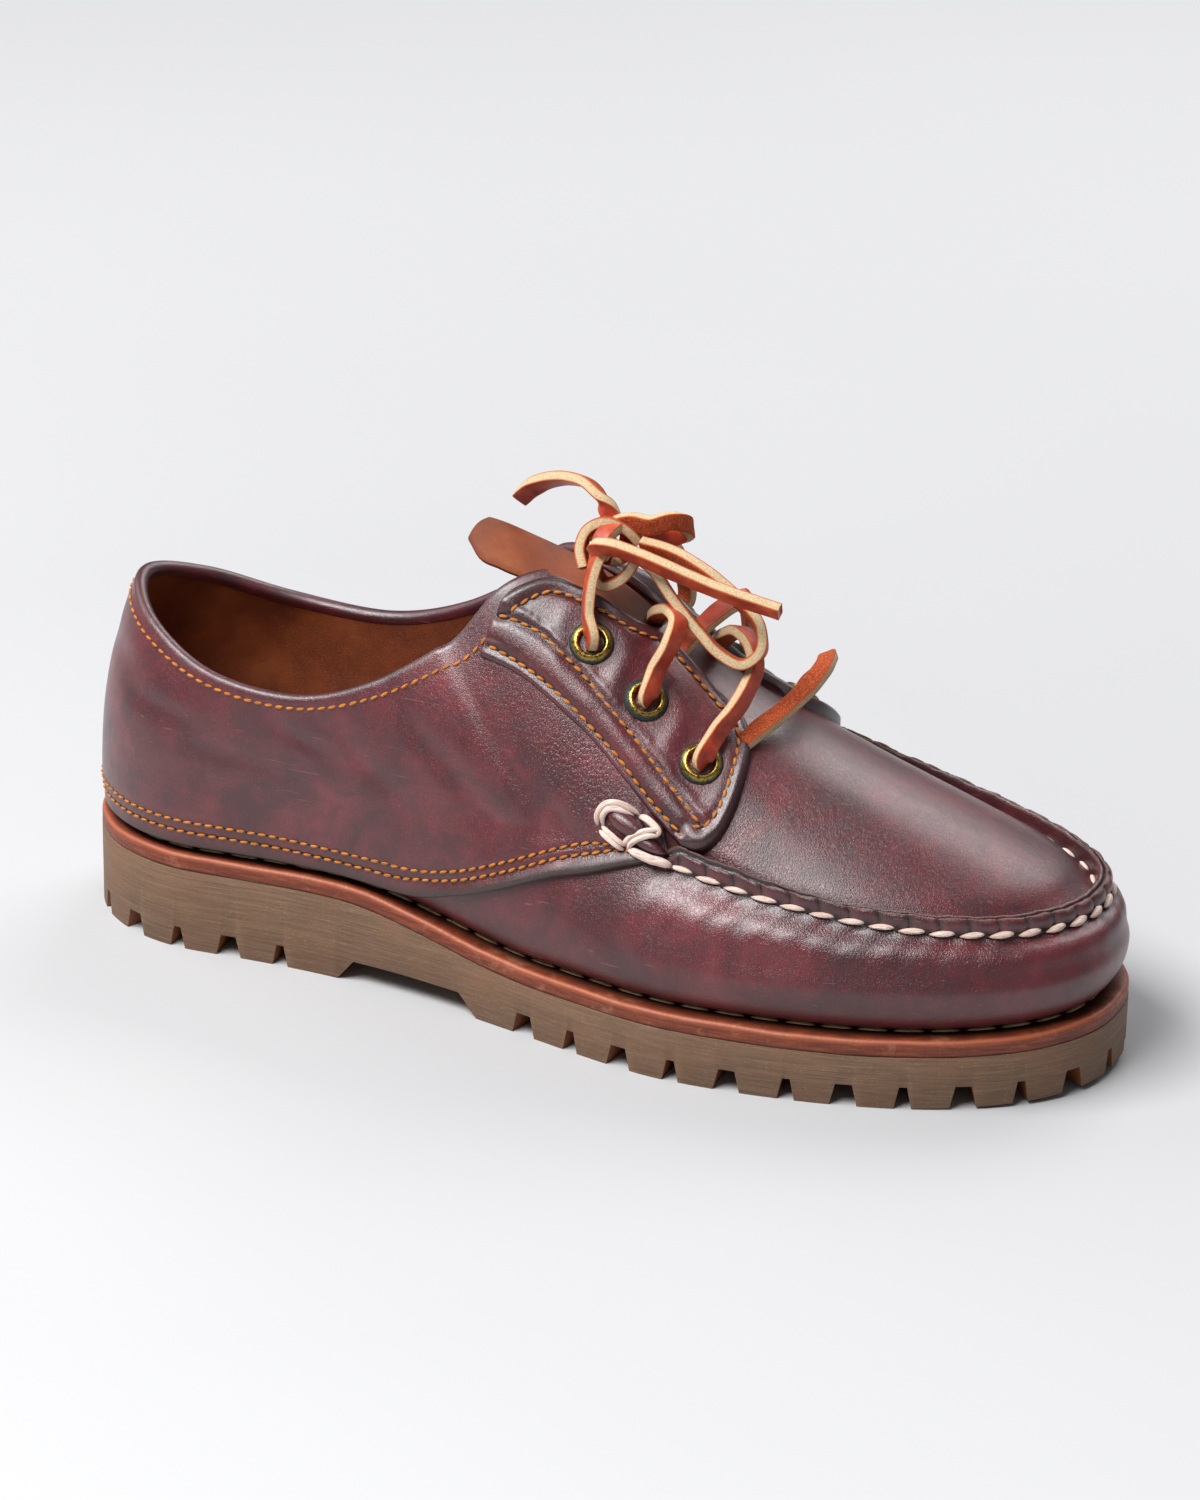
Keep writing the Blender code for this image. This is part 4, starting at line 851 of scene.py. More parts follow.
def strip(name, points, nodes, dark=None):
    """A flat lace along a smooth curve. Each of its points is a place and the way that the grain face
    looks there: x, y, z, nx, ny, nz. The section is a rectangle with slightly rounded corners, and it
    twists smoothly from one way of looking to the next."""
    rows = np.array(points, float)
    length = distance_along(rows[:, :3])
    at = np.linspace(0, length[-1], max(8, int(length[-1] / LACE_STEP)))
    curve = np.stack([through(length, column, at) for column in rows.T], axis=1)
    path, looks = curve[:, :3], curve[:, 3:]
    along = unit(np.gradient(path, axis=0))
    face = unit(looks - (looks * along).sum(1, keepdims=True) * along)
    across = np.cross(along, face)
    wide, thick = CORNER / LACE_WIDTH, CORNER / LACE_THICK
    turn = [(1.0, 1.0 - 2 * thick), (1.0 - 0.6 * wide, 1.0 - 0.6 * thick), (1.0 - 2 * wide, 1.0)]
    crown = [(0.5, 1.04), (0.0, 1.05), (-0.5, 1.04)]
    half = turn + crown + [(-a, b) for a, b in turn[::-1]]
    section = np.array(half + [(-a, -b) for a, b in half])
    wave = 1 + 0.035 * np.sin(at / 3.1 + rows[0, 0]) + 0.02 * np.sin(at / 1.37 + rows[0, 2])
    grid = (path[:, None] + across[:, None] * (section[None, :, :1] * LACE_WIDTH / 2 * wave[:, None, None])
            + face[:, None] * (section[None, :, 1:] * LACE_THICK / 2))
    count, sides = grid.shape[:2]
    faces = quads(count, sides, close_columns=True).tolist() + tube_ends(count, sides)
    shade = dark(at) if dark else np.zeros(count)
    paint = {"place": stacked(at[:, None], section[:, 0], section[:, 1]), "dark": np.repeat(shade, sides)}
    made = piece(name, grid, faces, "lace", nodes, paint, outwards=True)
    sharp = made.data.attributes.new("sharp_edge", "BOOLEAN", "EDGE")
    ends = set(range(sides)) | set(range((count - 1) * sides, count * sides))
    flags = [e.vertices[0] in ends and e.vertices[1] in ends for e in made.data.edges]
    sharp.data.foreach_set("value", flags)
    return made, (path - HEEL_SHIFT) * MM, float(length[-1]) * MM


LOOSE = {
    "lace_loop_outer": [
        (157.5, -4.5, 127.5, -0.2, -0.4, -0.8), (166.3, -7, 124, -0.35, -0.45, -0.75),
        (172.6, -9, 118, -0.45, -0.45, -0.7), (181.5, -10.5, 110, -0.55, -0.4, -0.7),
        (187, -10.5, 105.3, -0.35, -0.35, -0.85), (193.7, -9.5, 102.8, 0.25, -0.25, -0.95),
        (197.8, -7.5, 106.5, 0.95, 0.1, -0.2), (196.5, -5, 111.5, 0.85, 0.5, 0.2),
        (190.5, -3, 116.8, 0.6, 0.75, 0.45), (183.5, -2, 121.2, 0.35, 0.85, 0.45),
        (176, -1.5, 124.8, 0.2, 0.9, 0.45), (168.5, -0.5, 127, 0.1, 0.9, 0.45),
        (160.0, 0.5, 127.5, 0.1, 0.9, 0.45)],
    "lace_loop_inner": [
        (147.0, -2.5, 127.0, -0.4, 0.8, 0.1), (150.5, 0.3, 131.0, -0.35, 0.85, 0.1),
        (156.0, 1.5, 133.2, -0.2, 0.92, 0.1), (162, 2, 133, -0.1, 0.95, 0.15),
        (166, 4.5, 134.2, -0.5, 0.8, 0.0), (169, 8.5, 132.4, -0.95, 0.1, -0.1),
        (168.5, 12, 129, -0.6, -0.75, 0.1), (164.5, 10.5, 127, 0.4, -0.85, 0.2),
        (159.0, 5.0, 127, 0.5, -0.8, 0.2)],
    "lace_end_outer": [
        (150.0, -8.0, 127.0, -0.5, -0.6, -0.6), (152.0, -10.6, 129.6, -0.3, -0.75, -0.55),
        (156, -12, 130.8, -0.1, -0.8, -0.6), (165, -13, 129.7, 0.05, -0.82, -0.55),
        (175, -13.5, 127.3, 0.05, -0.82, -0.55), (190, -14, 124, 0.0, -0.8, -0.58),
        (205, -14, 121.5, 0.0, -0.8, -0.58)],
    "lace_end_inner": [
        (152.0, 2.0, 130.5, 0.6, -0.5, -0.4), (147, 3, 138, 0.3, -0.5, -0.8),
        (142, 5.5, 140.5, 0.0, -0.5, -0.85), (136, 8.5, 140, -0.1, -0.5, -0.85),
        (129, 12, 137.5, -0.2, -0.5, -0.85), (122, 16, 133, -0.3, -0.5, -0.8),
        (116, 21, 127, -0.4, -0.5, -0.75)],
}
for name, route in LOOSE.items():
    made, path, length = strip(name, route, (name,))


def frame_at(spot):
    """Centre on the shell, its normal and two directions across it, at a plan point."""
    turn, level = on_shell(np.array([spot], float))
    base = around(turn, level)[0]
    normal = shell_normal(turn, level)[0]
    first = unit(np.cross(normal, [0.0, 0.0, 1.0]))
    return base, normal, first, np.cross(normal, first)


EYE = {sign: [frame_at(spot) for spot in EYELETS[sign]] for sign in (-1, 1)}


def from_eyelet(sign, number, face):
    """Lace points that come out of an eyelet from below."""
    base, normal, *_ = EYE[sign][number]
    return [(*(base + normal * height), *face) for height in (-1.5, 2.5, 5.0)]


OUT_OF_EYE = {
    "lace_front_outer": from_eyelet(-1, 0, (0.75, -0.55, 0.3)) + [
        (191.6, -21.0, 88.0, 0.8, -0.6, 0.1), (194.6, -16.0, 93.2, 0.85, -0.5, 0.0),
        (195.6, -11.0, 97.0, 0.9, -0.35, 0.1), (195.4, -5.0, 101.0, 0.85, -0.1, 0.4),
        (193.0, -1.5, 105.0, 0.6, 0.1, 0.75), (188.4, 2.5, 106.6, 0.2, 0.2, 0.95),
        (182.5, 8.0, 102.8, 0.0, 0.4, 0.9), (178.5, 13.0, 98.2, 0.0, 0.5, 0.85)],
    "lace_middle_outer": from_eyelet(-1, 1, (0.75, -0.5, 0.3)) + [
        (173.2, -20.6, 102.0, 0.85, -0.5, 0.0), (176.2, -18.6, 109.0, 0.9, -0.4, 0.1),
        (176.7, -14.8, 113.6, 0.8, -0.2, 0.6), (173.0, -9.5, 114.6, 0.3, 0.0, 0.95),
        (168.0, -4.0, 111.6, 0.0, 0.3, 0.95), (164.0, 1.5, 107.2, -0.1, 0.5, 0.85),
        (161.5, 7.5, 102.6, -0.1, 0.6, 0.8)],
    "lace_top_outer": from_eyelet(-1, 2, (-0.75, -0.6, 0.2)) + [
        (152.4, -18.6, 113.0, -0.85, -0.5, 0.0), (151.6, -16.0, 118.5, -0.85, -0.5, 0.1),
        (151.0, -11.5, 123.6, -0.8, -0.4, 0.4), (150.6, -5.0, 126.8, -0.4, -0.1, 0.9)],
    "lace_front_inner": from_eyelet(1, 0, (0.2, 0.5, -0.8)) + [
        (202.5, 25.0, 89.5, 0.3, 0.5, -0.75), (207.5, 19.0, 96.6, 0.3, 0.1, -0.95),
        (208.8, 10.0, 96.2, 0.1, 0.35, -0.93), (206.8, 3.0, 92.8, 0.0, 0.5, -0.87),
        (203.8, -3.5, 89.4, 0.0, 0.5, -0.87), (200.4, -9.5, 86.6, 0.0, 0.5, -0.87),
        (196.4, -15.5, 83.0, 0.0, 0.5, -0.87)],
    "lace_middle_inner": from_eyelet(1, 1, (0.6, 0.6, 0.4)) + [
        (181.0, 26.0, 104.0, 0.7, 0.6, 0.2), (183.0, 20.5, 109.0, 0.6, 0.4, 0.6),
        (179.5, 12.5, 108.4, 0.3, 0.0, 0.95), (175.5, 4.0, 104.4, 0.1, -0.2, 0.95),
        (172.0, -4.5, 99.5, 0.1, -0.3, 0.95)],
    "lace_top_inner": from_eyelet(1, 2, (0.3, 0.7, 0.5)) + [
        (161.0, 26.0, 113.5, 0.3, 0.8, 0.3), (160.0, 22.0, 120.0, 0.2, 0.7, 0.6),
        (157.0, 14.0, 125.0, 0.1, 0.4, 0.9), (154.0, 7.0, 126.4, 0.0, 0.2, 0.95)],
}
for name, route in OUT_OF_EYE.items():
    # Painted shade on each lace where it comes out of its eyelet
    strip(name, route, ("lace_crossings",), dark=lambda at: 0.75 * smooth((6.5 - at) / 4))


def knot():
    """The knot: a band round the crossing ends, a strap that climbs over it from the left, and a
    bight that hangs below."""
    wrap = []
    for angle in np.linspace(-2.3, 3.7, 13):
        out = np.array([0.3 * math.cos(angle), math.cos(angle), math.sin(angle)])
        wrap.append((*(KNOT + [0.5, -1.5, -0.5] + out * [6.0, 6.0, 4.6]), *out))
    strap = [(146.5, -7.0, 121.5, -0.9, -0.2, -0.2), (144.6, -5.0, 126.0, -0.95, 0.0, 0.2),
             (145.6, -2.5, 130.8, -0.8, 0.1, 0.6), (149.6, -0.5, 133.0, -0.3, 0.2, 0.9),
             (154.6, 1.0, 131.6, 0.2, 0.2, 0.9), (158.5, 2.5, 128.0, 0.7, 0.2, 0.6)]
    bight = [(149.6, -5.0, 126.0, -0.6, -0.1, -0.5), (149.4, -6.4, 121.0, -0.8, -0.1, -0.4),
             (152.0, -6.8, 117.8, -0.1, -0.1, -0.98), (156.2, -6.0, 119.2, 0.6, 0.0, -0.8),
             (159.0, -4.2, 122.8, 0.8, 0.1, -0.5), (160.0, -2.0, 126.0, 0.8, 0.1, -0.3)]
    tuck = [(158.5, -6.0, 126.5, 0.3, -0.5, 0.8), (154.0, -2.0, 125.5, 0, -0.2, 1),
            (149.0, 3.0, 125.5, -0.1, 0.1, 1), (146.5, 8.5, 124.5, -0.4, 0.3, 0.8)]
    for name, route in (("wrap", wrap), ("strap", strap), ("bight", bight), ("tuck", tuck)):
        strip(f"lace_knot_{name}", route, ("lace_knot",))


knot()


# Sole
def edge_lines(inset):
    """Y of the sole's edge, drawn in by an inset, as two functions of X, and the X range."""
    lines, low, high = [], -1e9, 1e9
    for sign in (-1, 1):
        points = sole_inset(sign, FINE, inset)[::-1]
        points = points[np.argsort(points[:, 0], kind="stable")]
        lines.append(lambda x, points=points: np.interp(x, points[:, 0], points[:, 1]))
        low, high = max(low, points[:, 0].min()), min(high, points[:, 0].max())
    return *lines, low, high


def stations(low, high, ends, middle, extra=()):
    """X positions, closer together at the round ends."""
    heel = low + 34 * (1 - np.cos(np.linspace(0, math.pi / 2, ends)))
    toe = high - 50 * (1 - np.cos(np.linspace(0, math.pi / 2, ends + 3)))
    inside = np.linspace(low + 34, high - 50, middle)[1:-1]
    found = np.unique(np.round(np.concatenate([heel, toe, inside, list(extra)]), 3))
    found[0], found[-1] = low + 0.02, high - 0.02
    keep = [found[0]]
    for x in found[1:]:
        if x - keep[-1] > 0.06:
            keep.append(x)
    keep[-1] = found[-1]
    return np.array(keep)


def plate(bottom, top, extra):
    """Points and faces of a closed plate with the sole's outline between two height functions of X."""
    outer, inner, low, high = edge_lines(0.0)
    xs = stations(low, high, 34, 60, extra)
    corners = (outer, bottom), (outer, top), (inner, top), (inner, bottom)
    rings = np.stack([np.stack([xs, side(xs), height(xs)], -1) for side, height in corners], axis=1)
    faces = quads(len(xs), 4, close_columns=True).tolist()
    return rings.reshape(-1, 3), tube_ends(len(xs), 4) + faces


def sole_bottom(x):
    x = np.asarray(x, float)
    rise = np.clip((x - (ARCH_FROM - 5)) / 5, 0, 1) * np.clip((ARCH_TO - x) / 6, 0, 1)
    return np.where(x > SPRING_START, spring(x), LUG_DEPTH * rise)


def raw_mesh(name, points, faces):
    """A bare object for cutting, in metres."""
    mesh = new_mesh(name, points, faces)
    turn_outwards(mesh)
    return new_object(name, mesh)


def apply_modifiers(item):
    bpy.context.view_layer.update()
    graph = bpy.context.evaluated_depsgraph_get()
    done = bpy.data.meshes.new_from_object(item.evaluated_get(graph))
    item.modifiers.clear()
    item.data = done


def cut(target, cutter):
    step = target.modifiers.new("cut", "BOOLEAN")
    step.object = cutter
    step.operation = "DIFFERENCE"
    step.solver = "EXACT"
    apply_modifiers(target)
    bpy.data.objects.remove(cutter, do_unlink=True)


def prisms(outlines, low, high):
    """Straight prisms over several plan outlines."""
    points, faces = [], []
    for outline in outlines:
        first, count = len(points), len(outline)
        points += [(x, y, low) for x, y in outline] + [(x, y, high) for x, y in outline]
        faces += [[first + i for i in range(count - 1, -1, -1)], [first + i for i in range(count, 2 * count)]]
        faces += [[first + i, first + (i + 1) % count, first + (i + 1) % count + count, first + i + count]
                  for i in range(count)]
    return points, faces


def notch_cutters():
    """Trapezoid prisms, wide and narrow by turns, one lug pitch apart all round the tread."""
    points = sole_at(np.linspace(0, 2, 1601)[:-1])
    step = np.linalg.norm(np.roll(points, -1, axis=0) - points, axis=1)
    distance, total = np.concatenate([[0], np.cumsum(step)[:-1]]), step.sum()
    count = int(round(total / LUG_PITCH / 2)) * 2
    verts, faces = [], []
    for k in range(count):
        i = int(np.searchsorted(distance, (FIRST_NOTCH + k * total / count) % total)) % len(points)
        here = points[i]
        along = unit(points[(i + 3) % len(points)] - points[i - 3])
        inward = np.array([-along[1], along[0]])
        if inward @ (np.array([np.clip(here[0], 40, 255), 2.0]) - here) < 0:
            inward = -inward
        if ARCH_FROM - 12 < here[0] < ARCH_TO + 8:
            continue
        low_width, top_width = WIDE_NOTCH if k % 2 else NARROW_NOTCH
        base = float(sole_bottom(here[0]))
        a = len(verts)
        for place, narrow in ((here - inward * 4.0, 1.0), (here + inward * LUG_REACH, 0.85)):
            for width, z in ((low_width + 0.6, -1.0), (top_width, base + LUG_DEPTH)):
                for side in (-1, 1):
                    verts.append((*(place + along * side * width * narrow / 2), z))
        faces += [(a, a + 1, a + 3, a + 2), (a + 4, a + 6, a + 7, a + 5), (a, a + 4, a + 5, a + 1),
                  (a + 2, a + 3, a + 7, a + 6), (a, a + 2, a + 6, a + 4), (a + 1, a + 5, a + 7, a + 3)]
    return verts, faces


def band_loops(inset_out, inset_in, low, high):
    """Two closed loops at two insets of the sole's edge over a range of X."""
    loops = []
    for inset, pad in ((inset_out, 0.0), (inset_in, inset_in - inset_out)):
        outer, inner, *_ = edge_lines(inset)
        xs = np.linspace(low + pad, high - pad, 24)
        there, back = np.stack([xs, outer(xs)], -1), np.stack([xs[::-1], inner(xs[::-1])], -1)
        loops.append(np.concatenate([there, back]))
    return loops


def ring_prism(loops, low, high):
    """The space between two loops, as a closed ring."""
    count = len(loops[0])
    points = [(x, y, z) for loop in loops for z in (low, high) for x, y in loop]
    b, c, d = count, 2 * count, 3 * count
    faces = []
    for i in range(count):
        j = (i + 1) % count
        faces += [(i, j, b + j, b + i), (c + i, d + i, d + j, c + j),
                  (b + i, b + j, d + j, d + i), (i, c + i, c + j, j)]
    return points, faces


def build_outsole():
    extra = [ARCH_FROM - 5, ARCH_FROM, ARCH_TO - 6, ARCH_TO, SPRING_START, WEDGE_END, WEDGE_START]
    sole = raw_mesh("rubber_outsole", *plate(sole_bottom, rubber_top, extra))
    cut(sole, raw_mesh("notches", *notch_cutters()))
    for low, high in GROOVES:
        loops = band_loops(LUG_REACH - 0.5, LUG_REACH + 4.0, low, high)
        cut(sole, raw_mesh("groove", *ring_prism(loops, -1.0, CENTRE_GROOVE)))
    outer, inner, *_ = edge_lines(LUG_REACH + 1.5)
    bars = []
    for x in TREAD_BARS:
        x0, x1, y0, y1 = x - BAR_WIDTH / 2, x + BAR_WIDTH / 2, float(outer(x)), float(inner(x))
        bars.append([(x0, y0), (x1, y0), (x1, y1), (x0, y1)])
    cut(sole, raw_mesh("bars", *prisms(bars, -1.0, CENTRE_GROOVE)))
    turn_outwards(sole.data, weld=0.01 * MM)
    step = sole.modifiers.new("rounding", "BEVEL")
    step.width, step.segments = 0.4 * MM, 2
    step.limit_method, step.angle_limit = "ANGLE", math.radians(38)
    apply_modifiers(sole)
    mesh = sole.data
    mesh.materials.clear()
    mesh.materials.append(SKIN["rubber"])
    edge = np.concatenate([sole_edge(-1, FINE), sole_edge(1, FINE)])
    inside = mesh.attributes.new("inside", "FLOAT", "FACE")
    values = []
    for polygon in mesh.polygons:
        centre = np.array(polygon.center) / MM + HEEL_SHIFT
        depth = np.sqrt(((edge - centre[:2]) ** 2).sum(axis=1).min())
        values.append(float(depth > 1.2 and centre[2] < LUG_DEPTH + 3 and abs(polygon.normal.z) < 0.9))
    inside.data.foreach_set("value", values)
    mesh.polygons.foreach_set("use_smooth", [True] * len(mesh.polygons))
    mesh.set_sharp_from_angle(angle=math.radians(50))
    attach(sole, "root")
    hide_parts("outsole")


def sole_turns(count):
    """Turns spread evenly along the sole's edge, and the distance along it."""
    turn = np.linspace(0, 2, 2001)
    along = distance_along(sole_at(turn))
    at = np.linspace(0, along[-1], count, endpoint=False)
    return np.interp(at, along, turn), at


def build_midsole():
    """One thick leather layer, its upper edge rounded with a painted highlight along it, and painted shade on
    the ledge under the upper.
    """
    turn, at = sole_turns(560)
    MidRow = namedtuple("MidRow", "inset above rub dark")
    # The third column paints a highlight along the rounded top edge; dark paints shade on the ledge under the
    # upper, and a darker line at the lower edge by the rubber
    rows = [
        MidRow(14.0, 0.0, 0, 0), MidRow(0.3, 0.0, 0, 0.3), MidRow(0.05, 0.25, 0, 0.2),
        MidRow(0.0, 0.8, 0, 0),
        MidRow(0.0, 1.8, 0, 0), MidRow(0.0, 2.8, 0.05, 0), MidRow(0.05, 3.5, 0.3, 0),
        MidRow(0.3, 4.0, 0.65, 0),
        MidRow(0.75, 4.32, 0.5, 0), MidRow(1.3, 4.4, 0.15, 0.1), MidRow(2.4, 4.38, 0, 0.25),
        MidRow(3.6, 4.3, 0, 0.55),
        MidRow(5.2, 4.1, 0, 0.85), MidRow(7.0, 4.0, 0, 1.0), MidRow(14.0, 4.0, 0, 1.0),
    ]
    grid = []
    wobble = 0.10 * np.sin(at / 9.0) + 0.08 * np.sin(at / 3.7 + 1.0)
    for row in rows:
        near = 1.0 if row.inset < 3 else 0.0
        xy = sole_at(turn, row.inset + near * (wobble + 0.18) * 0.6)
        thick = row.above * (MIDSOLE + GAP * 0.6) / 4.4
        z = rubber_top(xy[:, 0]) + GAP * 0.2 + thick + near * (row.above > 3) * wobble * 0.6
        grid.append(np.concatenate([xy, z[:, None]], axis=1))
    paint = {"rub": [[row.rub] for row in rows], "dark": [[row.dark] for row in rows]}
    sheet("leather_midsole", np.stack(grid), "midsole", ("midsole",), paint,
          close_rows=True, close_columns=True)


def build_insole():
    """The footbed: dished at the heel, and turned up at its edge to meet the lining."""
    outer, inner, low, high = edge_lines(ledge_width(FINE) + 0.6)
    xs = stations(low, high, 26, 40)
    across = np.linspace(-1, 1, 25)
    y = (outer(xs) + inner(xs))[:, None] / 2 + (inner(xs) - outer(xs))[:, None] / 2 * across
    z = (midsole_top(xs) + GAP + 0.15)[:, None] + INSOLE + 1.7 * across**6
    z = z - 0.5 * bell(across / 0.5) * smooth((120 - xs) / 60)[:, None]
    grid = np.stack([np.broadcast_to(xs[:, None], y.shape), y, z], axis=-1)
    # Painted shade towards the footbed's edges, where it meets the lining
    sheet("footbed", grid, "lining", ("insole",), {"dark": 0.25 * np.abs(across) ** 4})


build_outsole()
build_midsole()
build_insole()


# Relief of the upper
Fold = namedtuple("Fold", "turn level length width depth tilt")
FOLDS = [
    # Soft troughs and swellings of the vamp's outer side, toe to ball
    Fold(0.09, 0.66, 16, 6.0, 0.35, 10), Fold(0.15, 0.86, 14, 5.0, 0.30, -8),
    Fold(0.215, 0.72, 18, 6.5, 0.45, 6),
    Fold(0.27, 0.88, 12, 4.0, 0.35, 20), Fold(0.31, 0.62, 20, 7.0, 0.45, -5),
    Fold(0.345, 0.84, 12, 4.5, 0.40, 35),
    Fold(0.385, 0.70, 16, 5.5, 0.45, 55), Fold(0.41, 0.90, 9, 3.2, 0.35, 70),
    Fold(0.425, 0.55, 16, 6.0, 0.5, 40),
    # Inner side of the vamp
    Fold(1.91, 0.70, 16, 6.0, 0.35, 0), Fold(1.83, 0.84, 14, 5.0, 0.40, 10),
    Fold(1.75, 0.68, 18, 6.5, 0.45, -10),
    Fold(1.68, 0.80, 14, 5.0, 0.45, -35), Fold(1.63, 0.60, 16, 5.5, 0.45, -50),
    # Plug, flexed across the joint of the toes
    Fold(0.31, 1.25, 16, 10.0, 0.22, 30), Fold(0.20, 1.40, 18, 12.0, 0.20, 50),
    Fold(1.75, 1.40, 18, 12.0, 0.22, -40),
    # Quarters behind the apron, creased upwards from the sole
    Fold(0.50, 1.10, 16, 3.4, 0.50, 62), Fold(0.53, 1.30, 18, 3.6, 0.55, 70),
    Fold(0.565, 1.05, 18, 4.2, 0.60, 58),
    Fold(0.60, 1.40, 16, 4.0, 0.55, 66), Fold(0.655, 1.20, 20, 4.8, 0.60, 55),
    Fold(0.72, 1.50, 16, 4.2, 0.45, 40),
    Fold(0.78, 1.15, 22, 6.0, 0.50, 15), Fold(0.86, 1.45, 18, 5.0, 0.45, 5),
    Fold(0.93, 1.60, 16, 5.0, 0.40, 0),
    Fold(1.50, 1.12, 16, 3.6, 0.50, -62), Fold(1.46, 1.32, 18, 3.8, 0.55, -70),
    Fold(1.42, 1.05, 18, 4.4, 0.60, -55),
    Fold(1.37, 1.40, 16, 4.2, 0.50, -62), Fold(1.31, 1.20, 20, 5.0, 0.55, -50),
    Fold(1.24, 1.45, 18, 4.6, 0.45, -25),
    Fold(1.14, 1.30, 20, 5.5, 0.45, -8),
]


def relief(turn, level):
    """Height added to the shell: each fold is a Gaussian trough along its length with raised banks,
    and small ripples run down from every seam stitch."""
    turn, level = np.broadcast_arrays(np.mod(np.asarray(turn, float), 2), np.asarray(level, float))
    along, up = length_round(turn), height_up(turn, level)
    total = np.zeros_like(along)
    whole = ROUND_LENGTH[-1]
    for fold in FOLDS:
        da = np.mod(along - length_round(fold.turn) + whole / 2, whole) - whole / 2
        du = up - height_up(np.float64(fold.turn), np.float64(fold.level))
        lean = math.radians(fold.tilt)
        u = da * math.cos(lean) + du * math.sin(lean)
        v = -da * math.sin(lean) + du * math.cos(lean) + 0.9 * np.sin(u / 5.0)
        reach = bell(u / fold.length)
        across = (v / fold.width) ** 2
        total += fold.depth * reach * (-np.exp(-across) + 0.45 * across * np.exp(-across / 1.6))
    size = lip_size(turn)
    wave = np.cos(2 * math.pi * seam_phase(turn))
    below = np.clip(-up, 0, None)
    total += np.where(level <= 1, 0.30 * size * wave * np.exp(-below / 5.0) * smooth(below / 1.5), 0.0)
    total += np.where(level <= 1, 1.5 * size * bell((below - 7.0) / 5.0) * smooth(below / 5.0), 0.0)
    return total


def outer_face(turn, level, height=0.0):
    """The visible outer face: the shell with its relief, and the plug's border drawn down beside the lip."""
    turn, level = np.broadcast_arrays(np.asarray(turn, float), np.asarray(level, float))
    point = raised(turn, level, relief(turn, level) + height)
    seam = around(turn, 1.0)
    distance = np.linalg.norm(point[..., :2] - seam[..., :2], axis=-1)
    drawn = 0.85 * (1 - smooth((distance - 2.5) / 9.0)) * lip_size(turn)
    lower = np.where(level > 1, (point[..., 2] - seam[..., 2]) * drawn, 0.0)
    point[..., 2] -= np.clip(lower, 0, None)
    return point


def even_columns(front_step, rear_step):
    """Turns round the shoe, closer together along the apron."""
    length = ROUND_LENGTH[-1]
    front = np.arange(0, APRON_LENGTH, front_step)
    behind = np.linspace(APRON_LENGTH, length - APRON_LENGTH, int((length - 2 * APRON_LENGTH) / rear_step))
    return turn_at(np.concatenate([front, behind, length - front[:0:-1]]))


def rolled_over(turn, points, profile):
    """Rows that roll a top edge inwards, each out and up from the edge's points by millimetres."""
    normal = shell_normal(turn, 1.98)
    up = unit(around(turn, 2.0) - around(turn, 1.95))
    return np.stack([points + normal * out + up * rise for out, rise in profile])


def tail(values, count, last):
    """Values of the rows before an edge roll, with one value for all rows of the roll."""
    return np.pad(values, ((0, count), (0, 0)), constant_values=last)


def build_upper():
    """Vamp, plug and quarters in one shell with its top edge rolled over, and the lining inside."""
    turn = even_columns(0.95, 1.7)
    levels = np.concatenate([
        np.linspace(0, 0.06, 4)[:-1], np.linspace(0.06, 0.92, 34)[:-1], np.linspace(0.92, 1.0, 7),
        1 + np.array([0.012, 0.03, 0.05, 0.075, 0.1]), np.linspace(1.13, 1.94, 30), [1.97, 1.99]])
    t, lv = np.meshgrid(turn, levels, indexing="xy")
    roll = rolled_over(turn, outer_face(turn, 1.995), (
        (0.0, 0.35), (-0.35, 0.85), (-1.1, 1.1), (-1.85, 0.85), (-2.2, 0.2), (-2.2, -1.5)))
    share = share_at(t)
    # Painted shade: along the furrow of the seam line, and at the upper's foot where it rolls under onto the
    # midsole
    dark = 0.55 * bell(np.abs(height_up(t, lv)) / 1.6) * lip_size(t)
    dark = np.maximum(dark, 0.5 * bell(lv / 0.06))
    # Painted reflection: a lighter reddish band low on the front of the vamp, where the floor reflects
    rub = 0.35 * bell((lv - 0.16) / 0.08) * smooth((0.45 - share) / 0.1)
    wrinkle = 0.15 + 0.5 * np.exp(-(((t - 0.36) / 0.05) ** 2 + ((lv - 1.35) / 0.2) ** 2))
    wrinkle += 0.35 * smooth((lv - 0.55) / 0.35) * (lv < 1) * np.where(share < 0.45, 1, 0.3)
    paint = {"dark": (dark, 0.45), "rub": (rub, 0.0), "wrinkle": (wrinkle, 0.1)}
    sheet("upper_leather", np.concatenate([outer_face(t, lv), roll]), "burgundy", ("upper",),
          {key: tail(values, len(roll), last) for key, (values, last) in paint.items()},
          close_columns=True, flip=True)
    inner_levels = np.concatenate([[1.985], np.linspace(1.95, 0.3, 24), [0.15, 0.05, 0.0]])
    t, lv = np.meshgrid(turn[::2], inner_levels, indexing="xy")
    sheet("upper_lining", raised(t, lv, -WALL - 0.05), "lining", ("upper",),
          # Painted shade on the lining, darker deeper down inside the shoe
          {"dark": 0.5 * smooth((1.2 - lv) / 1.2)}, close_columns=True)


build_upper()

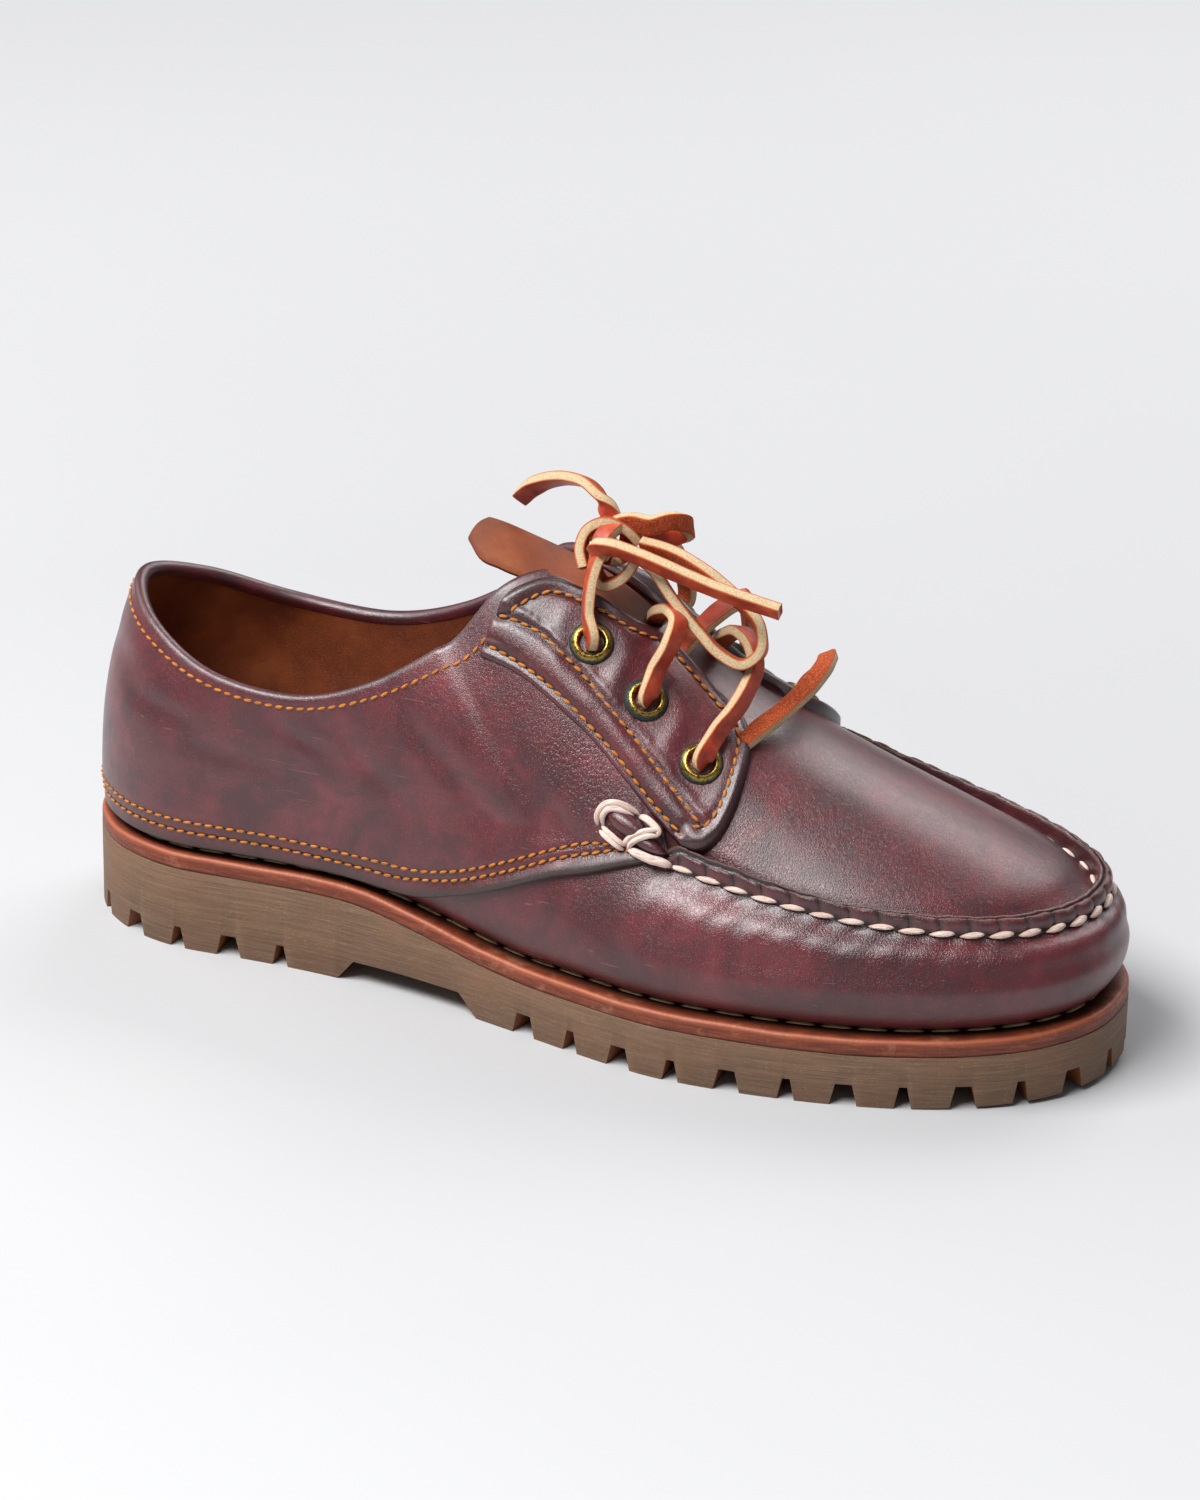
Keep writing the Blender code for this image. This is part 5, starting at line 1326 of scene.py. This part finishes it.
# Raised seam
LipRow = namedtuple("LipRow", "across rise dark raw bulge", defaults=(0.0,))
# The dark column paints shade at the lip's two feet and in the gap between the edges; the other rows are a
# little darker
LIP = [
    LipRow(-0.55, -0.9, 0.7, 0), LipRow(-0.05, 0.1, 0.8, 0), LipRow(-0.22, 0.9, 0.45, 0, 0.35),
    LipRow(-0.22, 1.9, 0.25, 0, 0.75), LipRow(-0.12, 2.9, 0.25, 0, 0.85), LipRow(0.05, 3.8, 0.30, 0, 0.7),
    LipRow(0.30, 4.45, 0.25, 0.1, 0.35), LipRow(0.62, 4.72, 0.1, 0.75),
    LipRow(1.15, 4.74, 0.2, 0.9), LipRow(1.42, 4.35, 1.0, 0), LipRow(1.60, 3.2, 1.0, 0),
    LipRow(1.82, 4.3, 1.0, 0),
    LipRow(2.05, 4.85, 0.35, 0.8), LipRow(2.65, 5.05, 0.15, 1.0), LipRow(3.15, 4.85, 0.3, 0.5),
    LipRow(3.45, 4.1, 0.35, 0.0),
    LipRow(3.58, 3.0, 0.25, 0), LipRow(3.65, 1.7, 0.35, 0), LipRow(3.80, 0.6, 0.75, 0),
    LipRow(4.3, -0.6, 0.7, 0),
]
# Rows of the lip's top, of the gap in it (painted dark as shade), and of the plug's cut edge
TOP_ROWS, GAP_ROWS, PLUG_EDGE_ROWS = range(5, 15), range(9, 12), range(11, 16)
# Spreads small differences evenly over numbered things
GOLDEN = 0.618


def apron_turns(step, from_outer=LIP_OUTER_START, from_inner=LIP_INNER_START):
    """Turns along the apron seam from its outer end round the toe to its inner end."""
    length = np.arange(-200.0, 200.0, step)
    turn = turn_at(length)
    keep = around(turn, 1.0)[:, 0] > np.where(length > 0, from_outer, from_inner)
    return turn[keep][::-1], length[keep][::-1]


def seam_and_inward(turn):
    """Points of the seam line, and the level directions from them towards the plug."""
    seam = around(turn, 1.0)
    return seam, unit((around(turn, 2.0) - seam) * [1, 1, 0])


def build_lip():
    """The sewn edges of vamp and plug, standing side by side: pillows between pinch creases outside, with
    painted highlights on the pillows and painted shade in the creases, raw cut edges on top with a gap
    between them painted dark as shade, and a smooth inner face."""
    turn, length = apron_turns(0.42)
    size = lip_size(turn)
    seam, inward = seam_and_inward(turn)
    number, phase = np.divmod(seam_phase(turn) + 0.5, 1.0)
    beside = (phase - 0.5) * SEAM_PITCH
    pinch = bell(beside / 0.42) + 0.5 * bell((beside - 1.0) / 0.35)
    pillow = np.abs(np.sin(math.pi * (phase - 0.5))) ** 0.8
    odd = np.mod(number * GOLDEN, 1.0) - 0.5
    ragged = 0.12 * np.sin(length / 1.9) + 0.09 * np.sin(length / 0.83 + 1.0)
    rawness = 0.15 + 0.85 * smooth((240 - seam[:, 0]) / 35)
    raised_edge = smooth((238 - seam[:, 0]) / 40) * (length > 0)
    grid, dark, raw, rub = [], [], [], []
    for k, row in enumerate(LIP):
        face = 1.0 if row.bulge else 0.0
        across = row.across * LIP_WIDTH / 3.7 - row.bulge * pillow + face * 0.55 * pinch
        rise = row.rise * LIP_HEIGHT / 4.9 * (1 + 0.05 * odd)
        if k in TOP_ROWS:
            rise = rise + ragged - 0.30 * pinch * (k < GAP_ROWS[0])
        if k in PLUG_EDGE_ROWS:
            rise = rise + 1.5 * raised_edge
        spot = seam + inward * across[:, None]
        spot[:, 2] = seam[:, 2] + rise * (0.12 + 0.88 * size)
        grid.append(spot)
        # Painted shade in the pinch creases, and a random darker tone from stitch to stitch
        dark.append(np.clip(row.dark + face * 0.7 * pinch + face * 0.35 * odd, 0, 1))
        raw.append(np.clip(row.raw * (rawness if k > GAP_ROWS[-1] else 0.55 + 0.45 * rawness), 0, 1))
        # Painted highlight on each pillow between the creases
        rub.append(np.clip(face * 0.5 * bell(beside / 1.3) * (1 - pinch), 0, 1))
    paint = {"dark": np.stack(dark), "raw": np.stack(raw), "rub": np.stack(rub), "wrinkle": 0.35}
    sheet("raised_seam", np.stack(grid), "burgundy", (), paint)


build_lip()


# Stitches
def stitches(name, path, normals, pitch, size, skin, rings=9, sides=8, taper=1.3,
             slant=0.0, first=0.5, dark_ends=0.8, holes=0.0):
    """Stitches along a path on a surface, of a length, width and height. Each is a closed lens: its
    section follows (1 - |t| to the taper) from one end (t = -1) to the other (1), and slant leans it
    across the path. Holes of a size lie between them as near-black discs that paint the shade in each hole,
    and dark_ends paints shade at each stitch's ends."""
    length, width, height = size
    along = distance_along(path)
    count = int((along[-1] - pitch * (first - 0.5)) / pitch)
    at = lambda s, values: np.stack([np.interp(s, along, column) for column in values.T], axis=-1)

    def axes(s):
        """Places along the path, and the directions across it and out of the surface."""
        normal = unit(at(s, normals))
        ahead = unit(at(s + 0.3, path) - at(s - 0.3, path))
        return at(s, path), normal, ahead, np.cross(normal, ahead)

    t = np.linspace(-1, 1, rings)
    t = np.sign(t) * np.abs(t) ** 0.85
    odd = (np.mod(np.arange(count) * GOLDEN, 1.0) - 0.5)[:, None]
    s = pitch * (first + np.arange(count))[:, None] + t * length / 2 * (1 + 0.08 * odd)
    middle, normal, _, side = axes(s)
    fade = 0.06 + 0.94 * np.clip(1 - np.abs(t) ** (2 * taper), 0, 1) ** (1 / taper)
    middle = middle + side * (slant * t)[:, None] + normal * (height * 0.25 * fade)[:, None]
    angle = 2 * math.pi * np.arange(sides) / sides
    scale = (fade * (1 + 0.10 * odd))[:, :, None]
    across, over = np.cos(angle) * (width / 2) * scale, np.sin(angle) * (height / 2) * scale
    grid = middle[:, :, None] + side[:, :, None] * across[..., None] + normal[:, :, None] * over[..., None]
    body = quads(rings, sides, close_columns=True)[:, ::-1].tolist()
    body += [face[::-1] for face in tube_ends(rings, sides)]
    faces = [[i * rings * sides + v for v in face] for i in range(count) for face in body]
    # dark paints shade at each stitch's ends, where it goes into the leather
    paint = {"place": stacked(s[:, :, None], across, over + 3.0 * np.arange(count)[:, None, None]),
             "dark": np.broadcast_to(dark_ends * (np.abs(t) ** 5)[:, None], grid.shape[:3]).ravel()}
    piece(name, grid, faces, skin, (), paint, outwards=True)
    if holes:
        # Near-black discs paint the shade in the stitch holes
        middle, normal, ahead, side = axes(pitch * (first + np.arange(count + 1) - 0.5))
        angle = 2 * math.pi * np.arange(8) / 8
        rim = (middle[:, None] + ahead[:, None] * (np.cos(angle) * holes * 0.62)[:, None]
               + side[:, None] * (np.sin(angle) * holes * 0.5)[:, None] + normal[:, None] * -0.05)
        points = np.concatenate([rim, (middle + normal * 0.06)[:, None]], axis=1)
        faces = [[9 * i + k, 9 * i + (k + 1) % 8, 9 * i + 8] for i in range(len(points)) for k in range(8)]
        piece(name + "_holes", points, faces, "shade_disc")


def fine_stitches(name, path, turn, level, size, slant, holes):
    """A row of mustard stitches over places of the shell."""
    stitches(name, path, shell_normal(turn, level), FINE_PITCH, size, "mustard", slant=slant, rings=7,
             sides=6, holes=holes)


def seam_stitches():
    """Thick pale stitches at both feet of the raised seam."""
    turn, _ = apron_turns(0.5, LIP_OUTER_START - 1, LIP_INNER_START - 1)
    seam, inward = seam_and_inward(turn)
    up = np.array([0.0, 0.0, 1.0])
    first = 0.5 + np.mod(seam_phase(turn[:1])[0] + 0.5, 1.0)
    for side, aside, rise, normals, size, slant, holes in (
            ("outside", -0.75, 0.35, -inward * 0.85 + up * 0.6, (7.0, 2.3, 1.7), 0.45, 1.1),
            ("inside", 4.5, 0.15, inward * 0.5 + up * 0.9, (6.9, 2.1, 1.5), -0.3, 1.0)):
        path = seam + inward * aside + up * rise
        stitches(f"seam_stitches_{side}", path, normals, SEAM_PITCH, size, "cream", rings=13, sides=12,
                 taper=1.15, slant=slant, first=first, dark_ends=0.55, holes=holes)


seam_stitches()


def welt_stitches():
    """The tan thread that joins upper and midsole, in the corner under the upper's roll."""
    turn, _ = sole_turns(900)
    turn = np.concatenate([turn, turn[:1]])
    xy = sole_at(turn, 6.6 - 1.4 * rear(share_at(turn), 0.5, 0.3))
    path = np.concatenate([xy, midsole_top(xy[:, 0])[:, None] + 0.1], axis=1)
    normals = np.tile([0.0, 0.0, 1.0], (len(path), 1))
    stitches("welt_stitches", path, normals, WELT_PITCH, (8.4, 1.3, 0.7), "tan",
             dark_ends=0.9, taper=1.8)


welt_stitches()


# Quarter
def build_quarter():
    """The overlay from apron end to apron end, with a thick burnished cut edge below."""
    ends = length_round(QUARTER_START), length_round(2 - QUARTER_START)
    turn = turn_at(np.linspace(*ends, 420))
    share = share_at(turn)
    low = table(QUARTER_LOW, share)
    per_mm = 1.0 / wall_height(share)
    QuarterRow = namedtuple("QuarterRow", "offset height edge")
    edge_rows = [
        QuarterRow(-0.4, -0.6, 1), QuarterRow(-0.5, 0.6, 1), QuarterRow(-0.35, 1.5, 1),
        QuarterRow(0.1, 2.1, 1),
        QuarterRow(0.8, 2.35, 1), QuarterRow(1.7, 2.3, 0.85), QuarterRow(2.6, 2.0, 0.35),
        QuarterRow(3.6, 1.75, 0),
    ]
    levels = [low + row.offset * per_mm for row in edge_rows]
    rise = np.linspace(0, 1, 58)[1:]
    levels = np.stack(levels + [levels[-1] + (1.995 - levels[-1]) * part for part in rise])
    heights = np.array([row.height for row in edge_rows] + [QUARTER_TOP] * len(rise))[:, None]
    edges = np.array([row.edge for row in edge_rows] + [0] * len(rise))[:, None]
    groove = sum(depth * bell((levels - low - offset * per_mm) / (0.7 * per_mm))
                 for depth, offset in zip((0.32, 0.28), QUARTER_SEAMS))
    grid = outer_face(turn, levels, heights - groove)
    roll = rolled_over(turn, grid[-1], (
        (-0.05, 0.8), (-0.5, 1.6), (-1.4, 2.1), (-2.5, 2.0), (-3.4, 1.5), (-4.0, 0.6), (-4.1, -1.0)))
    crease = bell((share - 0.47) / 0.04) * smooth((levels - 0.85) / 0.1) * smooth((1.7 - levels) / 0.3)
    # dark: the burnished cut edge, with painted shade in the stitch grooves; the lighter reddish patch beside
    # the apron's end is painted sheen
    paint = {
        "dark": (np.clip(edges * 0.95 + 0.8 * groove, 0, 1), 0.35),
        "rub": (0.25 * np.exp(-(((share - 0.47) / 0.03) ** 2 + ((levels - 1.05) / 0.12) ** 2)), 0.0),
        "wrinkle": ((0.25 + 0.75 * crease) * (1 - edges), 0.1),
        "raw": (np.broadcast_to(edges * 0.22, levels.shape), 0.0),
    }
    sheet("quarter_leather", np.concatenate([grid, roll]), "burgundy", ("quarter",),
          {key: tail(values, len(roll), last) for key, (values, last) in paint.items()}, flip=True)
    rows = [(f"quarter_stitches_{number}", share > 0.432 + 0.008 * number, low + offset * per_mm, 0.12)
            for number, offset in enumerate(QUARTER_SEAMS, start=1)]
    rows.append(("collar_stitches", share > COLLAR_START, np.full_like(share, COLLAR_SEAM), 0.05))
    for name, keep, line, sink in rows:
        path = outer_face(turn[keep], line[keep], QUARTER_TOP - sink)
        fine_stitches(name, path, turn[keep], line[keep], (2.7, 0.95, 0.8), 0.16, 0.8)


build_quarter()

# Eyestays
STAY_ROWS = {
    -1: {
        "a": [(128.0, -20.3), (140.5, -20.8), (152.8, -23.6), (162.8, -26.2), (172.8, -28.8),
              (184.4, -32.3), (192.6, -34.9)],
        "b": [(127.0, -24.0), (140.5, -26.2), (154.8, -28.9), (166.9, -31.6), (178.7, -35.2),
              (187.0, -37.2), (190.1, -37.9)],
    },
    1: {
        "a": [(128.0, 25.0), (141.0, 26.4), (153.5, 28.6), (166.0, 31.0), (178.0, 33.2), (190.0, 35.6),
              (198.6, 37.0)],
        "b": [(127.0, 28.6), (140.5, 31.2), (154.0, 33.9), (168.0, 36.0), (182.0, 37.6), (193.0, 38.4),
              (196.5, 38.6)],
    },
}


def stay_plan(rows, count_along, count_across):
    """Plan grid of an eyestay: rows by smooth curves through the table's own rows, and across each
    row a forward bow shaped like a superellipse, which rounds the lobe in front."""
    knots = np.linspace(0, 1, len(rows))
    along = np.linspace(0, 1, count_along)
    columns = [through(knots, [row[k] for row in rows], along)[:, None] for k in range(5)]
    x_inner, y_inner, x_outer, y_outer, bow = columns
    across = (1 - np.cos(np.linspace(0, math.pi, count_across)))[None, :] / 2
    forward = bow * (1 - np.abs(2 * across - 1) ** 2.4) ** (1 / 2.4)
    x = x_inner + (x_outer - x_inner) * across + forward
    return np.stack([x, y_inner + (y_outer - y_inner) * across], axis=-1)


def distance_to(points, line):
    """Distance in plan from each point to a line of short pieces."""
    best = np.full(points.shape[:-1], 1e9)
    for a, b in zip(line[:-1], line[1:]):
        d = b - a
        t = np.clip(((points - a) @ d) / max(d @ d, 1e-9), 0, 1)
        best = np.minimum(best, np.linalg.norm(points - a - t[..., None] * d, axis=-1))
    return best


def build_eyestay(sign, name):
    """Three-eyelet panel: a rolled edge along the throat and round the lobe, two sewn furrows with a
    puffed band between them and a thin cut edge on the side of the quarter."""
    plan = stay_plan(EYESTAY[sign], 110, 56)
    turn, level = on_shell(plan)
    boundary = np.concatenate([plan[:, 0], plan[-1, 1:]])
    roll = distance_to(plan, boundary[::2])
    rows = {key: evenly(np.array(line, float), 1.0) for key, line in STAY_ROWS[sign].items()}
    near = {key: distance_to(plan, line) for key, line in rows.items()}
    rounded = lambda distance, radius: np.sqrt(np.clip(1 - np.clip(1 - distance / radius, 0, 1) ** 2, 0, 1))
    height = EYESTAY_TOP * rounded(roll, 2.2)
    for border in (plan[:, -1][::3], plan[0][::4]):
        height *= rounded(distance_to(plan, border), 0.9) * 0.92 + 0.08
    height += 0.55 * bell((roll - 1.7) / 1.1)
    height -= 0.55 * bell((roll - 3.9) / 0.75)
    # dark: the burnished rolled edge, and painted shade in the stitch groove beside it
    dark = np.clip(0.75 * smooth((3.4 - roll) / 1.2) + 0.6 * bell((roll - 3.9) / 0.7), 0, 1)
    # Painted shade in the two sewn furrows
    for furrow in near.values():
        height -= 0.5 * bell(furrow / 0.75) * smooth(roll / 4.5)
        dark = np.maximum(dark, 0.45 * bell(furrow / 0.8))
    band = near["a"] + near["b"]
    puffed = np.clip(1 - ((near["a"] - near["b"]) / np.maximum(band, 0.1)) ** 2, 0, 1)
    height += 0.55 * puffed * (band < 8.5) * smooth(roll / 5)
    for base, *_ in EYE[sign]:
        ring = np.linalg.norm(plan - base[:2], axis=-1)
        height -= 0.35 * bell(np.clip(ring - 4.0, 0, None) / 3.0)
        height += 0.25 * bell((ring - 9.0) / 2.2)
    height += 0.2 * relief(turn, level)
    # One more point all round, below the shell
    turn, level = np.pad(turn, 1, mode="edge"), np.pad(level, 1, mode="edge")
    grid = raised(turn, level, np.pad(height, 1, constant_values=-0.8))
    # The rim below the shell is darkest: the cut edge with painted shade under it; a painted highlight runs
    # along the crown of the rolled edge
    paint = {"dark": np.pad(dark, 1, constant_values=1.0), "rub": np.pad(0.35 * bell((roll - 2.2) / 0.9), 1),
             "wrinkle": np.pad(np.full_like(dark, 0.3), 1)}
    sheet(name, grid, "burgundy", (name,), paint, flip=sign > 0)
    line = evenly(boundary, 0.8)
    tangent = unit(np.gradient(line, axis=0))
    row = line + np.stack([-tangent[:, 1], tangent[:, 0]], axis=-1) * sign * STAY_SEAM
    rows["edge"] = evenly(row[distance_to(row, boundary[::2]) > STAY_SEAM - 0.6], 0.8)
    for key, row in rows.items():
        t, lv = on_shell(row)
        path = raised(t, lv, EYESTAY_TOP - (0.3 if key == "edge" else 0.35))
        fine_stitches(f"{name}_stitches_{key}", path, t, lv, (2.75, 1.0, 0.85), 0.2, 0.85)


build_eyestay(-1, "eyestay_outer")
build_eyestay(1, "eyestay_inner")


def build_eyelets():
    """Turned brass rings: a crowned flange that rolls over into the barrel."""
    EyeRow = namedtuple("EyeRow", "radius height tarnish")
    profile = [
        EyeRow(3.25, -2.6, 0.4), EyeRow(3.3, 0.6, 0.3), EyeRow(3.42, 1.05, 0.15), EyeRow(3.75, 1.42, 0.05),
        EyeRow(4.2, 1.55, 0.05), EyeRow(4.65, 1.42, 0.2), EyeRow(5.0, 1.12, 0.4), EyeRow(5.35, 0.8, 0.5),
        EyeRow(5.7, 0.52, 0.7), EyeRow(5.98, 0.22, 0.9), EyeRow(6.05, -0.1, 1.0), EyeRow(5.9, -0.5, 1.0),
    ]
    sides = 56
    for sign, side in ((-1, "outer"), (1, "inner")):
        for number, (base, normal, first, second) in enumerate(EYE[sign], start=1):
            angle = 2 * math.pi * np.arange(sides) / sides
            out = first * np.cos(angle)[:, None] + second * np.sin(angle)[:, None]
            rings = [base + out * row.radius + normal * (EYESTAY_TOP + row.height - 0.35) for row in profile]
            tarnish = [[row.tarnish + (0.16 if number == 2 else 0.0)] for row in profile]
            sheet(f"eyelet_ring_{side}_{number}", np.stack(rings), "brass",
                  (f"eyelet_{side}_{number}",), {"tarnish": tarnish}, close_columns=True)
            # A near-black disc inside each barrel paints the shade in the eyelet
            disc = [base + out * r + normal * (EYESTAY_TOP - 1.8) for r in (3.3, 0.02)]
            sheet(f"eyelet_shade_{side}_{number}", np.stack(disc), "shade_disc",
                  close_columns=True)


build_eyelets()


def build_tongue():
    """A soft plate under the laces: its two faces and the rim between them."""
    xs, middle, half = zip(*TONGUE_ROWS)
    at = np.linspace(xs[0], xs[-1], 60)
    middle, half = through(xs, middle, at)[:, None], through(xs, half, at)[:, None]
    across = np.linspace(-1, 1, 31)
    y = middle + half * across
    x = np.broadcast_to(at[:, None], y.shape)
    edge = np.minimum((1 - np.abs(across)) * half, (at - at[0])[:, None])
    round_off = 0.9 * (1 - np.clip(edge / 1.2, 0, 1)) ** 2
    buckle = 0.35 * np.sin(x / 5.5 + across * 1.5) * smooth((165 - x) / 30)
    top = on_arch(x, y, -(WALL + TONGUE_GAP) - round_off + buckle - 0.3)
    low = on_arch(x, y, -(WALL + TONGUE_GAP + TONGUE))
    # Painted shadow on the tongue's front, under the plug and laces
    paint = {"dark": 0.75 * smooth((x - 150) / 15)}
    for name, grid, flip in (("tongue_face", top, False), ("tongue_back", low, True)):
        sheet(name, grid, "lining", ("tongue",), paint, flip=flip)
    rim = [np.concatenate([g[:, 0], g[-1, 1:], g[::-1, -1][1:], g[0, ::-1][1:-1]]) for g in (top, low)]
    sheet("tongue_rim", np.stack(rim), "lining", ("tongue",), close_columns=True)


build_tongue()

# Thread loops and roll at the ends of the apron
THREADS = {
    "arch": [(0.4675, 1.15, 1.2), (0.4635, 1.215, 3.0), (0.454, 1.275, 4.2), (0.443, 1.30, 4.2),
             (0.4325, 1.295, 3.0), (0.428, 1.28, 1.6)],
    "second": [(0.4265, 1.29, 1.4), (0.418, 1.29, 2.8), (0.412, 1.265, 3.4), (0.4115, 1.235, 3.6)],
    "third": [(0.4115, 1.245, 3.6), (0.4215, 1.222, 4.6), (0.434, 1.175, 4.4), (0.4435, 1.12, 3.2),
              (0.449, 1.065, 1.8)],
    "low": [(0.4675, 1.14, 1.4), (0.462, 1.125, 2.8), (0.4545, 1.09, 3.0), (0.4495, 1.06, 1.8)],
    "long": [(0.4465, 1.06, 2.4), (0.4385, 1.055, 3.4), (0.429, 1.035, 3.4), (0.4195, 1.01, 2.6),
             (0.4135, 0.995, 1.4)],
}

# Width and thickness of a thread, and how many lie side by side
THREAD_SIZES = {"arch": (1.75, 1.5, 2), "second": (2.1, 1.4, 1), "third": (1.6, 1.5, 2), "low": (1.5, 1.5, 2),
                "long": (2.5, 1.6, 1)}


def roll_path(points, mirror):
    """Places and normals along a thread over the shell, or over its mirrored other side."""
    rows = np.array(points, float)
    if mirror:
        rows[:, 0] = 2 - rows[:, 0]
    knots, at = np.linspace(0, 1, len(rows)), np.linspace(0, 1, 40)
    turn, level, height = (through(knots, column, at) for column in rows.T)
    return raised(turn, level, height), shell_normal(turn, level)


def strand(name, path, normals, width, thick, aside):
    """A flat bundle of thread along a path or beside it, narrower at both ends."""
    count, sides = len(path), 12
    t = np.linspace(-1, 1, count)
    ahead = unit(np.gradient(path, axis=0))
    side = unit(np.cross(normals, ahead))
    over = np.cross(ahead, side)
    path = path + side * aside
    size = (0.35 + 0.65 * (1 - np.abs(t) ** 4))[:, None]
    angle = 2 * math.pi * np.arange(sides) / sides
    across, up = np.cos(angle) * width / 2, np.sin(angle) * thick / 2
    grid = path[:, None] + side[:, None] * (size * across)[..., None] + over[:, None] * (size * up)[..., None]
    faces = quads(count, sides, close_columns=True).tolist() + tube_ends(count, sides)
    # Painted shade at the thread's ends, where it goes under
    paint = {"place": stacked(distance_along(path)[:, None], across, up),
             "dark": np.repeat(0.5 * np.abs(t) ** 8, sides)}
    piece(name, grid, faces, "cream", (), paint, outwards=True)


def puff(name, turn, level, half_round, half_up, height, mirror):
    """A stuffed pillow of leather between the threads: a dome on the shell."""
    u, v = np.meshgrid(np.linspace(-1, 1, 31), np.linspace(-1, 1, 27), indexing="xy")
    scale = np.maximum(np.abs(u), np.abs(v)) / np.maximum(np.sqrt(u**2 + v**2), 1e-6)
    u2, v2 = u * scale, v * scale
    r = np.sqrt(u2**2 + v2**2)
    t = (2 - turn if mirror else turn) + u2 * half_round
    lv = level + v2 * half_up
    rise = height * np.sqrt(np.clip(1 - r**2.4, 0, 1)) - 0.3 * (r > 0.98)
    grid = raised(t, lv, QUARTER_TOP - 0.4 + rise)
    # Painted shade round the pillow's foot
    sheet(name, grid, "burgundy", (),
          {"dark": 0.55 * smooth((r - 0.72) / 0.28), "wrinkle": 0.15}, flip=not mirror)


for side, mirror in (("outer", False), ("inner", True)):
    puff(f"apron_roll_{side}", 0.4390, 1.222, 0.0185, 0.072, 4.3, mirror)
    puff(f"apron_bulge_{side}", 0.4270, 1.150, 0.0140, 0.060, 3.2, mirror)
    for key, points in THREADS.items():
        path, normals = roll_path(points, mirror)
        width, thick, count = THREAD_SIZES[key]
        for n in range(count):
            aside = width * 0.92 * (n - (count - 1) / 2)
            strand(f"apron_thread_{key}_{n + 1}_{side}", path, normals, width, thick, aside)


# Stage
def make_stage():
    made, tree, shader, at = start("floor_paper")
    cloud = noise(tree, at, 0.002, 2, 0.5)
    base = ramp(tree, cloud, [(0.3, "#b4b4b6"), (0.7, "#b8b8b9")])
    # Painted light: the floor's colour grows paler away from the shoe, brightening the far floor that the
    # lamps light less
    far = add(tree, "VectorMath", {0: at}, operation="LENGTH").outputs[1]
    base = tint(tree, stretch(tree, far, 250, 1500), base, "#dddddf")
    finish_material(tree, shader, base, 0.85, cloud, 0.01)
    half = 6.0
    corners = [(-half, -half, 0), (half, -half, 0), (half, half, 0), (-half, half, 0)]
    mesh = bpy.data.meshes.new("floor")
    mesh.from_pydata(corners, [], [(0, 1, 2, 3)])
    mesh.materials.append(made)
    floor = new_object("floor", mesh)


Lamp = namedtuple("Lamp", "name x y z aim_x aim_y aim_z width height power")
LAMPS = [
    Lamp("overhead", -0.34, -0.66, 1.35, 0.20, 0.0, 0.06, 1.2, 0.65, 40.0),
    Lamp("back", 0.34, 1.20, 1.30, 0.18, 0.0, 0.07, 1.2, 0.9, 15.0),
    Lamp("left", -1.30, 0.25, 0.90, 0.10, 0.0, 0.08, 0.9, 0.9, 5.0),
]


def make_lights():
    for lamp in LAMPS:
        data = bpy.data.lights.new(lamp.name, "AREA")
        data.shape, data.size, data.size_y, data.energy = "RECTANGLE", lamp.width, lamp.height, lamp.power
        made = new_object(lamp.name, data)
        place = Vector((lamp.x, lamp.y, lamp.z))
        aim = Vector((lamp.aim_x, lamp.aim_y, lamp.aim_z)) - place
        made.matrix_world = Matrix.Translation(place) @ aim.to_track_quat("-Z", "Y").to_matrix().to_4x4()
    world = bpy.data.worlds.new("studio")
    world.use_nodes = True
    sky = world.node_tree.nodes["Background"]
    sky.inputs[0].default_value = (0.93, 0.95, 1.0, 1.0)
    sky.inputs[1].default_value = 0.20
    bpy.context.scene.world = world
    bpy.context.scene.view_settings.view_transform = "Standard"


make_stage()
make_lights()
